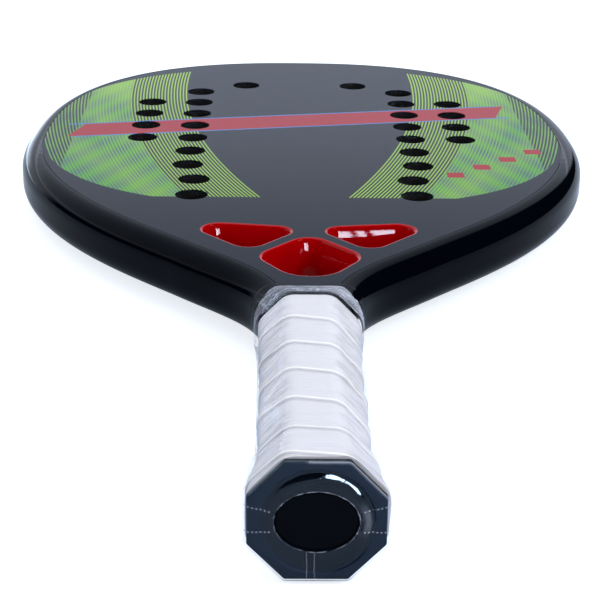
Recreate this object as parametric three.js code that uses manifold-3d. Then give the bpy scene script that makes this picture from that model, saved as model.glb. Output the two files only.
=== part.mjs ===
// Beach tennis racket: a hollow frame tube round a drilled foam core, with two face skins, a throat with
// three lined openings, an octagonal handle, a cushion grip, a wound overgrip and a clear shrink film.
// Millimetres. X runs across the head, Y from the butt to the tip, Z out of the upper face.
// The origin is the middle of the badge on the butt.

import * as THREE from 'three';
import { mergeVertices } from 'three/addons/utils/BufferGeometryUtils.js';
import Module from 'manifold-3d';

const { degToRad, lerp, clamp, smoothstep } = THREE.MathUtils;

const wasm = await Module();
wasm.setup();

// Overall sizes, with every Y measured from the rim of the butt
const racketLength = 491;
const headWidth = 250;
const bodyThickness = 22;
const widestY = 338.5;
const crownPower = 2.42;

// Flank and throat outline
const flankPull = 81;
const waistHalfWidth = 50.5;
const waistY = 185.3;
const waistLean = degToRad(41.9);
const waistPullUp = 33.1;
const waistPullDown = 28.1;
const neckHalfWidth = 16.8;
const neckY = 127.5;
const neckPull = 26.2;

// Laminates and clearances
const fitGap = 0.3;
const cutOverrun = 1;
const weldSize = 0.001;
const skinWall = 0.8;
const skinEndY = 146;

// Frame tube
const edgeRound = 8.5;
const headTubeWidth = 15;
const throatTubeWidth = 12.4;
const tubeWall = 1.4;
const tubeInnerRound = 1.5;

// Shafts of the tube inside the handle
const shaftEndY = 8;
const shaftOuterX = 10.5;
const shaftWidth = 8.3;
const shaftHalfHeight = 7;
const shaftRound = 3;
const shoulderLength = 0.8;

// Drilled holes, with their rows as shares of the head's height above the bridge
const holeDiameter = 13;
const topRowShare = 0.7377;
const holePitchShare = 0.0767;
const crownRowShare = 0.0506;
const innerColumnShare = 0.394;
const outerColumnShare = 0.575;
const innerColumnCount = 9;
const outerColumnCount = 4;
const lowPairShift = 3.7;
const lowPairCount = 2;
const crownHoleX = 27;

// Bridge that closes the head ring above the throat
const bridgeShare = 1.5063;
const bridgeRadius = 130;
const bridgeDepth = 11;
const bridgeWall = 2;
const bridgeReach = degToRad(55);

// Throat openings, with corners as shares of the waist width and of the neck to waist height. The photograph
// shows all three a little to the right of the middle plane
const sideOpeningShares = [[0.0039, 1.4092], [0.444, 0.9292], [1.0493, 1.5457]];
const sideOpeningRounds = [6.7, 7.5, 7.8];
const middleOpeningShares = [[0, 0.2802], [0.4114, 0.8476], [0, 1.287], [-0.4114, 0.8476]];
const middleOpeningRounds = [13.3, 10.4, 8.2, 10.4];
const openingShift = 1.1;
const linerWall = 2;
const linerLip = 0.6;
const lipDrop = 0.4;
const lipRound = 1.4;
const linerDraft = 0.4;

// Handle octagon
const handleHalfWidth = 13;
const handleHalfHeight = 11.75;
const topFacetHalf = 6.2;
const sideFacetHalf = 4.6;
const facetRound = 1;
const collarFlare = 1.4;
const collarStartY = 104;

// Butt cap and badge
const flangeFlare = 5.65;
const flangeDepth = 2.6;
const flangeBevel = 0.6;
const capLength = 24;
const capFlare = 3.25;
const skirtWall = 0.7;
const capFloor = 3.5;
const flarePower = 1.4;
const flareRelease = 5;
const dishRadius = 15.3;
const dishSlope = 0.8;
const dishDepth = 0.8;
const badgeHalfWidth = 11;
const badgeHalfHeight = 8.5;
const badgeThick = 1;
const badgePocket = 0.6;
const badgeBevel = 0.15;

// Grip layers
const baseGripThick = 1.2;
const ribbonThick = 0.5;
const ribbonWidth = 26;
const ribbonPitch = 20.5;
const ribbonGap = 0.5;
const ribbonRamp = 2;
const ribbonEase = 0.5;
const ribbonTip = 2;
const ribbonSliver = 0.3;
const ribbonStartCount = 3;

// Clear shrink film
const filmWall = 0.2;
const filmSideEndY = 131.5;
const filmTopEndY = 143.9;
const filmRelease = 8;
const filmMouthEase = 1.8;
const filmMouthRound = 6;

// Facet counts
const throatSteps = 8;
const flankSteps = 9;
const crownSteps = 13;
const edgeSteps = 4;
const boreSteps = 2;
const holeSides = 14;
const arcSteps = 14;
const openingSteps = 6;
const ringSteps = 2;
const dishSides = 32;
const capSteps = 4;

// Sizes worked out from those above
const halfWidth = headWidth / 2;
const halfThickness = bodyThickness / 2;
const coreHalf = halfThickness - skinWall;
const bodyRound = Math.min(edgeRound, halfThickness - tubeInnerRound);
const handleEndY = neckY - shoulderLength - fitGap;
const throatHeight = waistY - neckY;
const bridgeY = neckY + bridgeShare * throatHeight;
const headHeight = racketLength - bridgeY;
const skirtFlare = fitGap + skirtWall;
const gripStartY = flangeDepth + fitGap;
const badgeFaceY = dishDepth + badgePocket - badgeThick;
const ribbonFloor = fitGap + baseGripThick + fitGap;
const ribbonTop = ribbonFloor + ribbonThick + ribbonGap + ribbonThick;
const filmFloor = ribbonTop + fitGap;
const farX = headWidth;
const farY = racketLength;

// Finishes
const finishes = {
  lacquer: { color: 0x14161a, roughness: 0.16, metalness: 0 },
  faceSkin: { color: 0x2b2e33, roughness: 0.42, metalness: 0 },
  redLacquer: { color: 0xc0000c, roughness: 0.12, metalness: 0 },
  foam: { color: 0x1b1b1c, roughness: 0.95, metalness: 0 },
  composite: { color: 0x222222, roughness: 0.7, metalness: 0 },
  capPlastic: { color: 0x222d38, roughness: 0.45, metalness: 0 },
  badge: { color: 0x050607, roughness: 0.2, metalness: 0 },
  cushion: { color: 0x3a3a3c, roughness: 0.9, metalness: 0 },
  overgrip: { color: 0xe4e3ee, roughness: 0.6, metalness: 0 },
  film: { color: 0xffffff, roughness: 0.08, metalness: 0, transparent: true, opacity: 0.3 },
};

// Joins and cuts

// Keeps positions only, welds them and drops the triangles that have no area left
function weld(geometry) {
  const bare = geometry.clone();
  bare.deleteAttribute('normal');
  bare.deleteAttribute('uv');
  const merged = mergeVertices(bare, weldSize);
  const kept = [];
  for (let i = 0; i < merged.index.count; i += 3) {
    const [a, b, c] = [0, 1, 2].map((k) => merged.index.getX(i + k));
    if (a !== b && b !== c && c !== a) kept.push(a, b, c);
  }
  merged.setIndex(kept);
  return merged;
}

function toSolid(geometry) {
  const welded = weld(geometry);
  const vertProperties = new Float32Array(welded.attributes.position.array);
  const triVerts = new Uint32Array(welded.index.array);
  return new wasm.Manifold(new wasm.Mesh({ numProp: 3, vertProperties, triVerts }));
}

function toGeometry(solid) {
  const mesh = solid.getMesh();
  const geometry = new THREE.BufferGeometry();
  geometry.setAttribute('position', new THREE.BufferAttribute(mesh.vertProperties, 3));
  geometry.setIndex(new THREE.BufferAttribute(mesh.triVerts, 1));
  geometry.computeVertexNormals();
  return geometry;
}

function joinAll(solids) {
  return solids.reduce((whole, next) => whole.add(next));
}

// Prism of an outline in X and Y, between two heights
function prism(points, bottom, top) {
  const geometry = new THREE.ExtrudeGeometry(new THREE.Shape(points), {
    depth: top - bottom,
    bevelEnabled: false,
  });
  geometry.translate(0, 0, bottom);
  return toSolid(geometry);
}

// Block between two corners
function block(low, high) {
  const size = new THREE.Vector3().subVectors(high, low);
  const middle = new THREE.Vector3().addVectors(low, high).multiplyScalar(1 / 2);
  const geometry = new THREE.BoxGeometry(size.x, size.y, size.z);
  geometry.translate(middle.x, middle.y, middle.z);
  return toSolid(geometry);
}

// Lofts

// Six times the volume inside a mesh, negative when its faces point inward
function signedVolume(positions, index) {
  const [a, b, c] = [new THREE.Vector3(), new THREE.Vector3(), new THREE.Vector3()];
  let sum = 0;
  for (let i = 0; i < index.length; i += 3) {
    a.fromArray(positions, 3 * index[i]);
    b.fromArray(positions, 3 * index[i + 1]);
    c.fromArray(positions, 3 * index[i + 2]);
    sum += a.dot(b.cross(c));
  }
  return sum;
}

// Mesh through rings of equal count. Looped rings close on themselves, others get a flat fan at each end
function loft(rings, looped = false) {
  const count = rings[0].length;
  const positions = rings.flat().flatMap((p) => [p.x, p.y, p.z]);
  const index = [];
  const bands = looped ? rings.length : rings.length - 1;
  for (let r = 0; r < bands; r++) {
    const here = r * count;
    const next = ((r + 1) % rings.length) * count;
    for (let k = 0; k < count; k++) {
      const l = (k + 1) % count;
      index.push(here + k, here + l, next + l, here + k, next + l, next + k);
    }
  }
  if (!looped) {
    [rings[0], rings[rings.length - 1]].forEach((ring, end) => {
      const middle = new THREE.Vector3();
      ring.forEach((p) => middle.add(p));
      middle.divideScalar(count);
      const hub = positions.length / 3;
      positions.push(middle.x, middle.y, middle.z);
      const start = end * (rings.length - 1) * count;
      for (let k = 0; k < count; k++) {
        const [p, q] = [start + k, start + (k + 1) % count];
        index.push(hub, end ? p : q, end ? q : p);
      }
    });
  }
  if (signedVolume(positions, index) < 0) index.reverse();
  const geometry = new THREE.BufferGeometry();
  geometry.setAttribute('position', new THREE.Float32BufferAttribute(positions, 3));
  geometry.setIndex(index);
  geometry.computeVertexNormals();
  return geometry;
}

// Rounded loops

// Corners of a convex loop moved inward by a distance, or outward when it is negative
function insetCorners(corners, distances) {
  return corners.map((corner, i) => {
    const before = corners[(i + corners.length - 1) % corners.length].clone().sub(corner).normalize();
    const after = corners[(i + 1) % corners.length].clone().sub(corner).normalize();
    const bisector = before.clone().add(after).normalize();
    const halfSine = Math.sqrt((1 - before.dot(after)) / 2);
    return corner.clone().addScaledVector(bisector, distances[i] / halfSine);
  });
}

// Directions that a corner's arc turns through, from one edge's normal to the next one's
function cornerTurns(corners, steps) {
  return corners.map((corner, i) => {
    const before = corners[(i + corners.length - 1) % corners.length];
    const after = corners[(i + 1) % corners.length];
    const edgeIn = corner.clone().sub(before);
    const edgeOut = after.clone().sub(corner);
    const start = Math.atan2(-edgeIn.x, edgeIn.y);
    let turn = Math.atan2(-edgeOut.x, edgeOut.y) - start;
    if (turn < 0) turn += 2 * Math.PI;
    return Array.from({ length: steps + 1 }, (_, k) => start + (turn * k) / steps);
  });
}

// Counterclockwise loop with arcs for corners, grown outward on the same arc centres
function roundedLoop(corners, rounds, grow, steps) {
  const centres = insetCorners(corners, rounds);
  return cornerTurns(corners, 1).flatMap(([start, end], i) => {
    const count = Array.isArray(steps) ? steps[i] : steps;
    return Array.from({ length: count + 1 }, (_, k) => {
      const angle = lerp(start, end, k / count);
      const reach = rounds[i] + grow;
      return new THREE.Vector2(
        centres[i].x + reach * Math.cos(angle),
        centres[i].y + reach * Math.sin(angle),
      );
    });
  });
}

// Outline of the racket

function crownPoints() {
  return Array.from({ length: crownSteps + 1 }, (_, i) => {
    const angle = (Math.PI / 2) * (i / crownSteps);
    const side = Math.max(Math.cos(angle), 0) ** (2 / crownPower);
    const rise = Math.sin(angle) ** (2 / crownPower);
    return new THREE.Vector2(
      i === crownSteps ? 0 : halfWidth * side,
      widestY + (racketLength - widestY) * rise,
    );
  });
}

// Right half of the outline from the neck to the tip
function halfOutline() {
  const lean = new THREE.Vector2(Math.sin(waistLean), Math.cos(waistLean));
  const neck = new THREE.Vector2(neckHalfWidth, neckY);
  const waist = new THREE.Vector2(waistHalfWidth, waistY);
  const widest = new THREE.Vector2(halfWidth, widestY);
  const throat = new THREE.CubicBezierCurve(
    neck,
    new THREE.Vector2(neckHalfWidth, neckY + neckPull),
    waist.clone().addScaledVector(lean, -waistPullDown),
    waist,
  );
  const flank = new THREE.CubicBezierCurve(
    waist,
    waist.clone().addScaledVector(lean, waistPullUp),
    new THREE.Vector2(halfWidth, widestY - flankPull),
    widest,
  );
  const lower = throat.getPoints(throatSteps);
  const middle = flank.getPoints(flankSteps).slice(1);
  return [...lower, ...middle, ...crownPoints().slice(1)];
}

function tubeWidthAt(y) {
  return lerp(throatTubeWidth, headTubeWidth, smoothstep(y, waistY, widestY));
}

// Stations along the outline, each with its point, the way inward and the tube's section there
function bodyStations() {
  const points = halfOutline();
  return points.map((point, i) => {
    const before = points[Math.max(i - 1, 0)];
    const after = points[Math.min(i + 1, points.length - 1)];
    const along = after.clone().sub(before).normalize();
    if (i === 0) along.set(0, 1);
    if (i === points.length - 1) along.set(-1, 0);
    return {
      point,
      inward: new THREE.Vector2(-along.y, along.x),
      width: tubeWidthAt(point.y),
      half: halfThickness,
      round: bodyRound,
    };
  });
}

function mirrored(station) {
  return {
    ...station,
    point: new THREE.Vector2(-station.point.x, station.point.y),
    inward: new THREE.Vector2(-station.inward.x, station.inward.y),
  };
}

function bothSides(half) {
  return [...half, ...half.slice(0, -1).reverse().map(mirrored)];
}

// Outline moved inward by a distance, or to the tube's inner wall and that much further
function insetOutline(distance, pastTube = false) {
  return bothSides(bodyStations()).map(({ point, inward, width }) =>
    point.clone().addScaledVector(inward, pastTube ? width + distance : distance));
}

// Frame tube

function shaftStations() {
  const station = {
    inward: new THREE.Vector2(-1, 0),
    width: shaftWidth,
    half: shaftHalfHeight,
    round: shaftRound,
  };
  return [shaftEndY, neckY - shoulderLength].map((y) => (
    { ...station, point: new THREE.Vector2(shaftOuterX, y) }));
}

// Section of the tube, with x as the depth inward from the outline and y as the height
function tubeSection({ width, half, round }, wall, topWall) {
  const corners = [
    new THREE.Vector2(wall, -half + topWall),
    new THREE.Vector2(width - wall, -half + topWall),
    new THREE.Vector2(width - wall, half - topWall),
    new THREE.Vector2(wall, half - topWall),
  ];
  const outer = Math.min(round - wall, half - topWall - tubeInnerRound / 2);
  const steps = wall > 0 ? boreSteps : edgeSteps;
  const rounds = [outer, tubeInnerRound, tubeInnerRound, outer];
  return roundedLoop(corners, rounds, 0, [steps, 1, 1, steps]);
}

function tubeRings(stations, wall, topWall) {
  return stations.map((station) => tubeSection(station, wall, topWall).map((p) => {
    const place = station.point.clone().addScaledVector(station.inward, p.x);
    return new THREE.Vector3(place.x, place.y, p.y);
  }));
}

// The bore runs out of both shaft ends
function boreStations(stations) {
  const reach = (station) => ({
    ...station,
    point: new THREE.Vector2(station.point.x, station.point.y - cutOverrun),
  });
  return [reach(stations[0]), ...stations.slice(1, -1), reach(stations[stations.length - 1])];
}

function skinPockets() {
  const outline = insetOutline(edgeRound);
  const pocket = prism(outline, coreHalf, halfThickness + cutOverrun)
    .add(prism(outline, -halfThickness - cutOverrun, -coreHalf));
  return pocket.intersect(aboveLine(skinEndY - fitGap));
}

function aboveLine(y) {
  return block(
    new THREE.Vector3(-farX, y, -bodyThickness),
    new THREE.Vector3(farX, farY + cutOverrun, bodyThickness),
  );
}

function frameTube() {
  const stations = bothSides([...shaftStations(), ...bodyStations()]);
  const outside = toSolid(loft(tubeRings(stations, 0, 0)));
  const bore = toSolid(loft(tubeRings(boreStations(stations), tubeWall, skinWall + tubeWall)));
  return toGeometry(outside.subtract(bore).subtract(skinPockets()));
}

// Head and throat cores

// Half plane on one side of a bridge arc, as an outline that reaches past the head
function beyondArc(radius, above) {
  const centreY = bridgeY + bridgeRadius;
  const arc = Array.from({ length: arcSteps + 1 }, (_, i) => {
    const angle = lerp(-bridgeReach, bridgeReach, i / arcSteps);
    return new THREE.Vector2(radius * Math.sin(angle), centreY - radius * Math.cos(angle));
  });
  const edgeY = above ? farY : neckY;
  return [...arc, new THREE.Vector2(farX, edgeY), new THREE.Vector2(-farX, edgeY)];
}

function insideTube(half) {
  return prism(insetOutline(fitGap, true), -half, half);
}

function drilledPlaces() {
  const top = bridgeY + topRowShare * headHeight;
  const holePitch = holePitchShare * headHeight;
  const inner = Array.from({ length: innerColumnCount }, (_, i) => {
    const shift = i < innerColumnCount - lowPairCount ? 0 : lowPairShift;
    return [innerColumnShare * halfWidth - shift, top - i * holePitch];
  });
  const outer = Array.from({ length: outerColumnCount }, (_, i) => (
    [outerColumnShare * halfWidth, top - (i + 1) * holePitch]));
  const right = [[crownHoleX, top + crownRowShare * headHeight], ...inner, ...outer];
  return [...right, ...right.map(([x, y]) => [-x, y])];
}

function drills(half) {
  return joinAll(drilledPlaces().map(([x, y]) => {
    const circle = Array.from({ length: holeSides }, (_, k) => {
      const angle = (2 * Math.PI * (k + 1 / 2)) / holeSides;
      const radius = holeDiameter / 2;
      return new THREE.Vector2(x + radius * Math.cos(angle), y + radius * Math.sin(angle));
    });
    return prism(circle, -half - cutOverrun, half + cutOverrun);
  }));
}

function foamCore() {
  const region = prism(beyondArc(bridgeRadius - bridgeDepth - fitGap, true), -coreHalf, coreHalf);
  return toGeometry(insideTube(coreHalf).intersect(region).subtract(drills(coreHalf)));
}

// Arched band between two radii
function archBand(lower, upper, half) {
  const outer = beyondArc(lower, true);
  const inner = beyondArc(upper, true);
  return prism(outer, -half, half).subtract(prism(inner, -half - cutOverrun, half + cutOverrun));
}

function bridgeTube() {
  const band = archBand(bridgeRadius, bridgeRadius - bridgeDepth, coreHalf);
  const bore = archBand(
    bridgeRadius - bridgeWall,
    bridgeRadius - bridgeDepth + bridgeWall,
    coreHalf - bridgeWall,
  );
  return toGeometry(band.subtract(bore).intersect(insideTube(coreHalf)));
}

function openingCorners(shares) {
  return shares.map(([across, up]) => (
    new THREE.Vector2(across * waistHalfWidth, neckY + up * throatHeight)));
}

function flipped(corners) {
  return corners.map((p) => new THREE.Vector2(-p.x, p.y)).reverse();
}

function shifted(corners) {
  return corners.map((p) => new THREE.Vector2(p.x + openingShift, p.y));
}

const openings = {
  left: [shifted(flipped(openingCorners(sideOpeningShares))), [...sideOpeningRounds].reverse()],
  middle: [shifted(openingCorners(middleOpeningShares)), middleOpeningRounds],
  right: [shifted(openingCorners(sideOpeningShares)), sideOpeningRounds],
};

function openingCuts(half) {
  return joinAll(Object.values(openings).map(([corners, rounds]) => (
    prism(roundedLoop(corners, rounds, fitGap, openingSteps), -half, half))));
}

function throatCore() {
  const region = prism(beyondArc(bridgeRadius + fitGap, false), -bodyThickness, bodyThickness);
  return toGeometry(insideTube(halfThickness)
    .intersect(region)
    .subtract(skinPockets())
    .subtract(openingCuts(bodyThickness)));
}

// One face laminate, between two heights
function faceSkin(bottom, top) {
  return toGeometry(prism(insetOutline(edgeRound + fitGap), bottom, top)
    .intersect(aboveLine(skinEndY))
    .subtract(drills(halfThickness))
    .subtract(openingCuts(bodyThickness)));
}

// Liner of one opening, flush with both faces, with rounded lips and a slight draft to its middle
function openingLiner([corners, rounds]) {
  const ring = (grow, z) => roundedLoop(corners, rounds, grow, openingSteps)
    .map((p) => new THREE.Vector3(p.x, p.y, z));
  const mouth = [
    [-linerLip, halfThickness],
    [-(linerLip + linerWall - linerDraft) / 2, halfThickness - lipDrop],
    [linerDraft - linerWall, halfThickness - lipRound],
  ];
  const upper = mouth.map(([grow, z]) => ring(grow, z));
  const lower = mouth.map(([grow, z]) => ring(grow, -z)).reverse();
  const outer = [ring(0, -halfThickness), ring(0, halfThickness)];
  return loft([...outer, ...upper, ring(-linerWall, 0), ...lower], true);
}

// Handle

const handleCorners = [
  [handleHalfWidth, -sideFacetHalf],
  [handleHalfWidth, sideFacetHalf],
  [topFacetHalf, handleHalfHeight],
  [-topFacetHalf, handleHalfHeight],
  [-handleHalfWidth, sideFacetHalf],
  [-handleHalfWidth, -sideFacetHalf],
  [-topFacetHalf, -handleHalfHeight],
  [topFacetHalf, -handleHalfHeight],
].map(([x, z]) => new THREE.Vector2(x, z));
const facetTurns = cornerTurns(handleCorners, ringSteps);
const ringCount = facetTurns.flat().length;

// Ring round the handle: the octagon spread by a flare, then grown over by an even layer
function handleRing(y, flare, over) {
  const distances = handleCorners.map(() => facetRound - flare);
  const centres = insetCorners(handleCorners, distances);
  return facetTurns.flatMap((turns, i) => turns.map((angle) => new THREE.Vector3(
    centres[i].x + (facetRound + over) * Math.cos(angle),
    y,
    centres[i].y + (facetRound + over) * Math.sin(angle),
  )));
}

// How far the handle's layers spread at each place along it: over the cap, not at all along the grip, and
// a little where the handle meets the throat
const flareStations = [
  ...Array.from({ length: capSteps + 1 }, (_, i) => {
    const share = i / capSteps;
    return [
      lerp(flangeDepth, capLength, share),
      lerp(capFlare, skirtFlare, share ** flarePower),
    ];
  }),
  [capLength + flareRelease, 0],
  [collarStartY, 0],
  [handleEndY, collarFlare],
];

// The film leaves the skirt on a longer slope than the grip under it
const filmFlares = flareStations.map(([y, flare], i) => (
  i === capSteps + 1 ? [capLength + filmRelease, flare] : [y, flare]));

function flareAt(y, stations = flareStations) {
  const after = stations.findIndex(([place]) => place >= y);
  if (after === 0) return stations[0][1];
  if (after < 0) return stations[stations.length - 1][1];
  const [[y0, f0], [y1, f1]] = [stations[after - 1], stations[after]];
  return lerp(f0, f1, (y - y0) / (y1 - y0));
}

// Places along the handle where a layer over it needs a ring
function layerPlaces(start, end, stations = flareStations) {
  const between = stations.map(([y]) => y).filter((y) => y > start && y < end);
  return [start, ...between, end];
}

function buttCap() {
  const outside = toSolid(loft([
    handleRing(0, flangeFlare - flangeBevel, 0),
    handleRing(flangeBevel, flangeFlare, 0),
    handleRing(flangeDepth - fitGap, flangeFlare, 0),
    ...flareStations.slice(0, capSteps + 1).map(([y, flare]) => handleRing(y, flare, 0)),
  ]));
  const pocket = toSolid(loft([
    handleRing(capFloor, 0, fitGap),
    handleRing(capLength + cutOverrun, 0, fitGap),
  ]));
  const slope = dishSlope / dishDepth;
  const dish = toSolid(new THREE.LatheGeometry([
    new THREE.Vector2(0, -cutOverrun),
    new THREE.Vector2(dishRadius + slope * cutOverrun, -cutOverrun),
    new THREE.Vector2(dishRadius - dishSlope, dishDepth),
    new THREE.Vector2(0, dishDepth),
  ], dishSides));
  const seat = toSolid(badgeShape(fitGap, badgeFaceY, dishDepth + badgePocket, 0));
  return toGeometry(outside.subtract(pocket).subtract(dish).subtract(seat));
}

// Oval ring on the butt, all at one Y
function ovalRing(y, across, up, sides) {
  return Array.from({ length: sides }, (_, k) => {
    const angle = (2 * Math.PI * k) / sides;
    return new THREE.Vector3(across * Math.cos(angle), y, up * Math.sin(angle));
  });
}

function badgeShape(grow, faceY, backY, bevel) {
  const ring = (y, inset) => (
    ovalRing(y, badgeHalfWidth + grow - inset, badgeHalfHeight + grow - inset, dishSides));
  const rings = [ring(faceY, bevel), ring(backY, 0)];
  if (bevel > 0) rings.splice(1, 0, ring(faceY + bevel, 0));
  return loft(rings);
}

// Channel for both shafts and the foam between them
function shaftChannel() {
  const corners = [[-1, -1], [1, -1], [1, 1], [-1, 1]].map(([x, z]) => (
    new THREE.Vector2(x * shaftOuterX, z * shaftHalfHeight)));
  const rounds = corners.map(() => shaftRound);
  const loop = roundedLoop(corners, rounds, fitGap, edgeSteps);
  const ring = (y) => loop.map((p) => new THREE.Vector3(p.x, y, p.y));
  return toSolid(loft([ring(0), ring(neckY + cutOverrun)]));
}

// Half shell of the handle on one side of the middle plane
function handlePallet(side) {
  const whole = toSolid(loft([
    handleRing(capFloor + fitGap, 0, 0),
    handleRing(collarStartY, 0, 0),
    handleRing(handleEndY, collarFlare, 0),
  ]));
  const low = side > 0 ? 0 : -headWidth;
  const half = block(
    new THREE.Vector3(-farX, 0, low),
    new THREE.Vector3(farX, farY, low + headWidth),
  );
  return toGeometry(whole.subtract(shaftChannel()).intersect(half));
}

function handleCore() {
  const reach = shaftOuterX - shaftWidth - fitGap;
  return toGeometry(block(
    new THREE.Vector3(-reach, shaftEndY, -shaftHalfHeight),
    new THREE.Vector3(reach, handleEndY, shaftHalfHeight),
  ));
}

// Grip layers

function baseGrip() {
  const places = layerPlaces(gripStartY, handleEndY);
  const inner = places.map((y) => handleRing(y, flareAt(y), fitGap));
  const outer = places.map((y) => handleRing(y, flareAt(y), fitGap + baseGripThick)).reverse();
  return loft([...inner, ...outer], true);
}

// Share of the way round the handle at each point of its ring
function ringShares() {
  const ring = handleRing(0, 0, ribbonFloor);
  const order = ring.map((_, k) => (k + ribbonStartCount) % ringCount);
  const steps = order.map((k) => ring[k].distanceTo(ring[(k + 1) % ringCount]));
  const whole = steps.reduce((sum, step) => sum + step);
  let walked = 0;
  return order.map((_, i) => {
    const share = walked / whole;
    walked += steps[i];
    return share;
  });
}

// Section of the band at one turn count: its lower edge lies over the turn below and the rest on the cushion
function ribbonSection(turns, corner) {
  const lower = gripStartY + ribbonTip - ribbonWidth + turns * ribbonPitch;
  const from = Math.max(lower, gripStartY);
  const to = Math.min(lower + ribbonWidth, handleEndY);
  const under = lower + ribbonWidth - ribbonPitch;
  const lift = (ribbonThick + ribbonGap) * clamp((under - from) / ribbonRamp, 0, 1);
  const crest = under + ribbonEase;
  const first = clamp(crest, from + ribbonSliver, to - 3 * ribbonSliver);
  const second = clamp(crest + ribbonRamp, first + ribbonSliver, to - 2 * ribbonSliver);
  const places = [from, first, second, (second + to) / 2, to];
  const point = (y, over) => handleRing(y, flareAt(y), over)[corner];
  const height = (y) => ribbonFloor + lift * clamp((crest + ribbonRamp - y) / ribbonRamp, 0, 1);
  const below = places.map((y) => point(y, height(y)));
  const above = places.map((y) => point(y, height(y) + ribbonThick)).reverse();
  return [...below, ...above];
}

function ribbonSections() {
  const shares = ringShares();
  const travel = handleEndY - gripStartY - 2 * ribbonTip + ribbonWidth;
  const lastTurn = travel / ribbonPitch;
  const sections = [];
  for (let i = 0; Math.floor(i / ringCount) + shares[i % ringCount] <= lastTurn; i++) {
    const turns = Math.floor(i / ringCount) + shares[i % ringCount];
    sections.push(ribbonSection(turns, (i + ribbonStartCount) % ringCount));
  }
  return sections;
}

// Least distance between points of the band that lie at least half a turn apart
function leastRibbonGap(sections) {
  let least = Infinity;
  sections.forEach((section, i) => {
    for (let j = i + ringCount / 2; j < sections.length; j++) {
      for (const p of section) {
        for (const q of sections[j]) least = Math.min(least, p.distanceTo(q));
      }
    }
  });
  return least;
}

// Points on the band's edges and halfway between them, so that the gap is taken along its whole width
function withMiddles(section) {
  return section.flatMap((p, k) => {
    const next = section[(k + 1) % section.length];
    return [p, p.clone().lerp(next, 1 / 4), p.clone().lerp(next, 1 / 2), p.clone().lerp(next, 3 / 4)];
  });
}

function overgrip() {
  const sections = ribbonSections();
  const gap = leastRibbonGap(sections.map(withMiddles));
  console.log(`overgrip: ${(sections.length / ringCount).toFixed(1)} turns, least gap ${gap.toFixed(3)} mm`);
  return loft(sections);
}

// Mouth of the film at the throat, which reaches further over the faces than at the sides
function filmMouth(grow) {
  const across = neckHalfWidth + filmMouthEase;
  const up = halfThickness + 2 * fitGap;
  const slant = (across - bodyRound) + (halfThickness - bodyRound) + (bodyRound + fitGap) * Math.SQRT2;
  const quarter = [[across, slant - across], [slant - up, up]];
  const corners = [
    [quarter[0][0], -quarter[0][1]],
    quarter[0],
    quarter[1],
    [-quarter[1][0], quarter[1][1]],
    [-quarter[0][0], quarter[0][1]],
    [-quarter[0][0], -quarter[0][1]],
    [-quarter[1][0], -quarter[1][1]],
    [quarter[1][0], -quarter[1][1]],
  ].map(([x, z]) => new THREE.Vector2(x, z));
  const loop = roundedLoop(corners, corners.map(() => filmMouthRound), grow, ringSteps);
  const angles = cornerTurns(corners, ringSteps).flat();
  return loop.map((p, k) => new THREE.Vector3(
    p.x,
    lerp(filmSideEndY, filmTopEndY, Math.sin(angles[k]) ** 2),
    p.y,
  ));
}

// Oval ring whose evenly spaced points keep step with those of the handle's ring
function facingOval(y, across, up) {
  const cornerShare = 1 / handleCorners.length;
  const startShare = -(cornerShare + ringSteps / ringCount) / 2;
  return Array.from({ length: ringCount }, (_, k) => {
    const angle = 2 * Math.PI * (startShare + k / ringCount);
    return new THREE.Vector3(across * Math.cos(angle), y, up * Math.sin(angle));
  });
}

// One side of the film, from its mouth to its opening on the butt
function filmSide(thick) {
  const over = filmFloor + thick;
  const lipY = -fitGap - thick;
  const floorY = dishDepth - fitGap - thick;
  const places = layerPlaces(flangeDepth, neckY + fitGap, filmFlares).reverse();
  return [
    filmMouth(thick),
    ...places.map((y) => handleRing(y, flareAt(y, filmFlares), over)),
    handleRing(lipY, flangeFlare - flangeBevel, fitGap + flangeBevel + thick),
    facingOval(lipY, dishRadius, dishRadius),
    facingOval(floorY, dishRadius - dishSlope - fitGap, dishRadius - dishSlope - fitGap),
    facingOval(floorY, badgeHalfWidth + fitGap, badgeHalfHeight + fitGap),
  ];
}

function clearFilm() {
  return loft([...filmSide(0), ...filmSide(filmWall).reverse()], true);
}

// Assembly

const racket = new THREE.Group();
racket.position.y = -badgeFaceY;

function addPiece(name, geometry, finish) {
  const mesh = new THREE.Mesh(geometry, new THREE.MeshStandardMaterial(finishes[finish]));
  mesh.name = name;
  racket.add(mesh);
}

addPiece('frame_tube', frameTube(), 'lacquer');
addPiece('bridge_tube', bridgeTube(), 'composite');
addPiece('throat_core', throatCore(), 'lacquer');
addPiece('foam_core', foamCore(), 'foam');
addPiece('face_skin_top', faceSkin(coreHalf, halfThickness), 'faceSkin');
addPiece('face_skin_bottom', faceSkin(-halfThickness, -coreHalf), 'faceSkin');
for (const side of ['left', 'middle', 'right']) {
  addPiece(`opening_liner_${side}`, openingLiner(openings[side]), 'redLacquer');
}
addPiece('handle_core', handleCore(), 'foam');
addPiece('handle_pallet_upper', handlePallet(1), 'composite');
addPiece('handle_pallet_lower', handlePallet(-1), 'composite');
addPiece('butt_cap', buttCap(), 'capPlastic');
addPiece('butt_badge', badgeShape(0, badgeFaceY, dishDepth + badgePocket, badgeBevel), 'badge');
addPiece('base_grip', baseGrip(), 'cushion');
addPiece('overgrip', overgrip(), 'overgrip');
addPiece('clear_film', clearFilm(), 'film');

export default racket;
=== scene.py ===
# Beach tennis racket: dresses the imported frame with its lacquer, printed faces, grip layers, film and studio.
# Shapes are worked out in millimetres, with Y from the rim of the butt, and turned into the frame's metres.

import math

import bmesh
import bpy
from bpy.props import FloatProperty, FloatVectorProperty, PointerProperty
from mathutils import Matrix, Vector, noise


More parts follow.
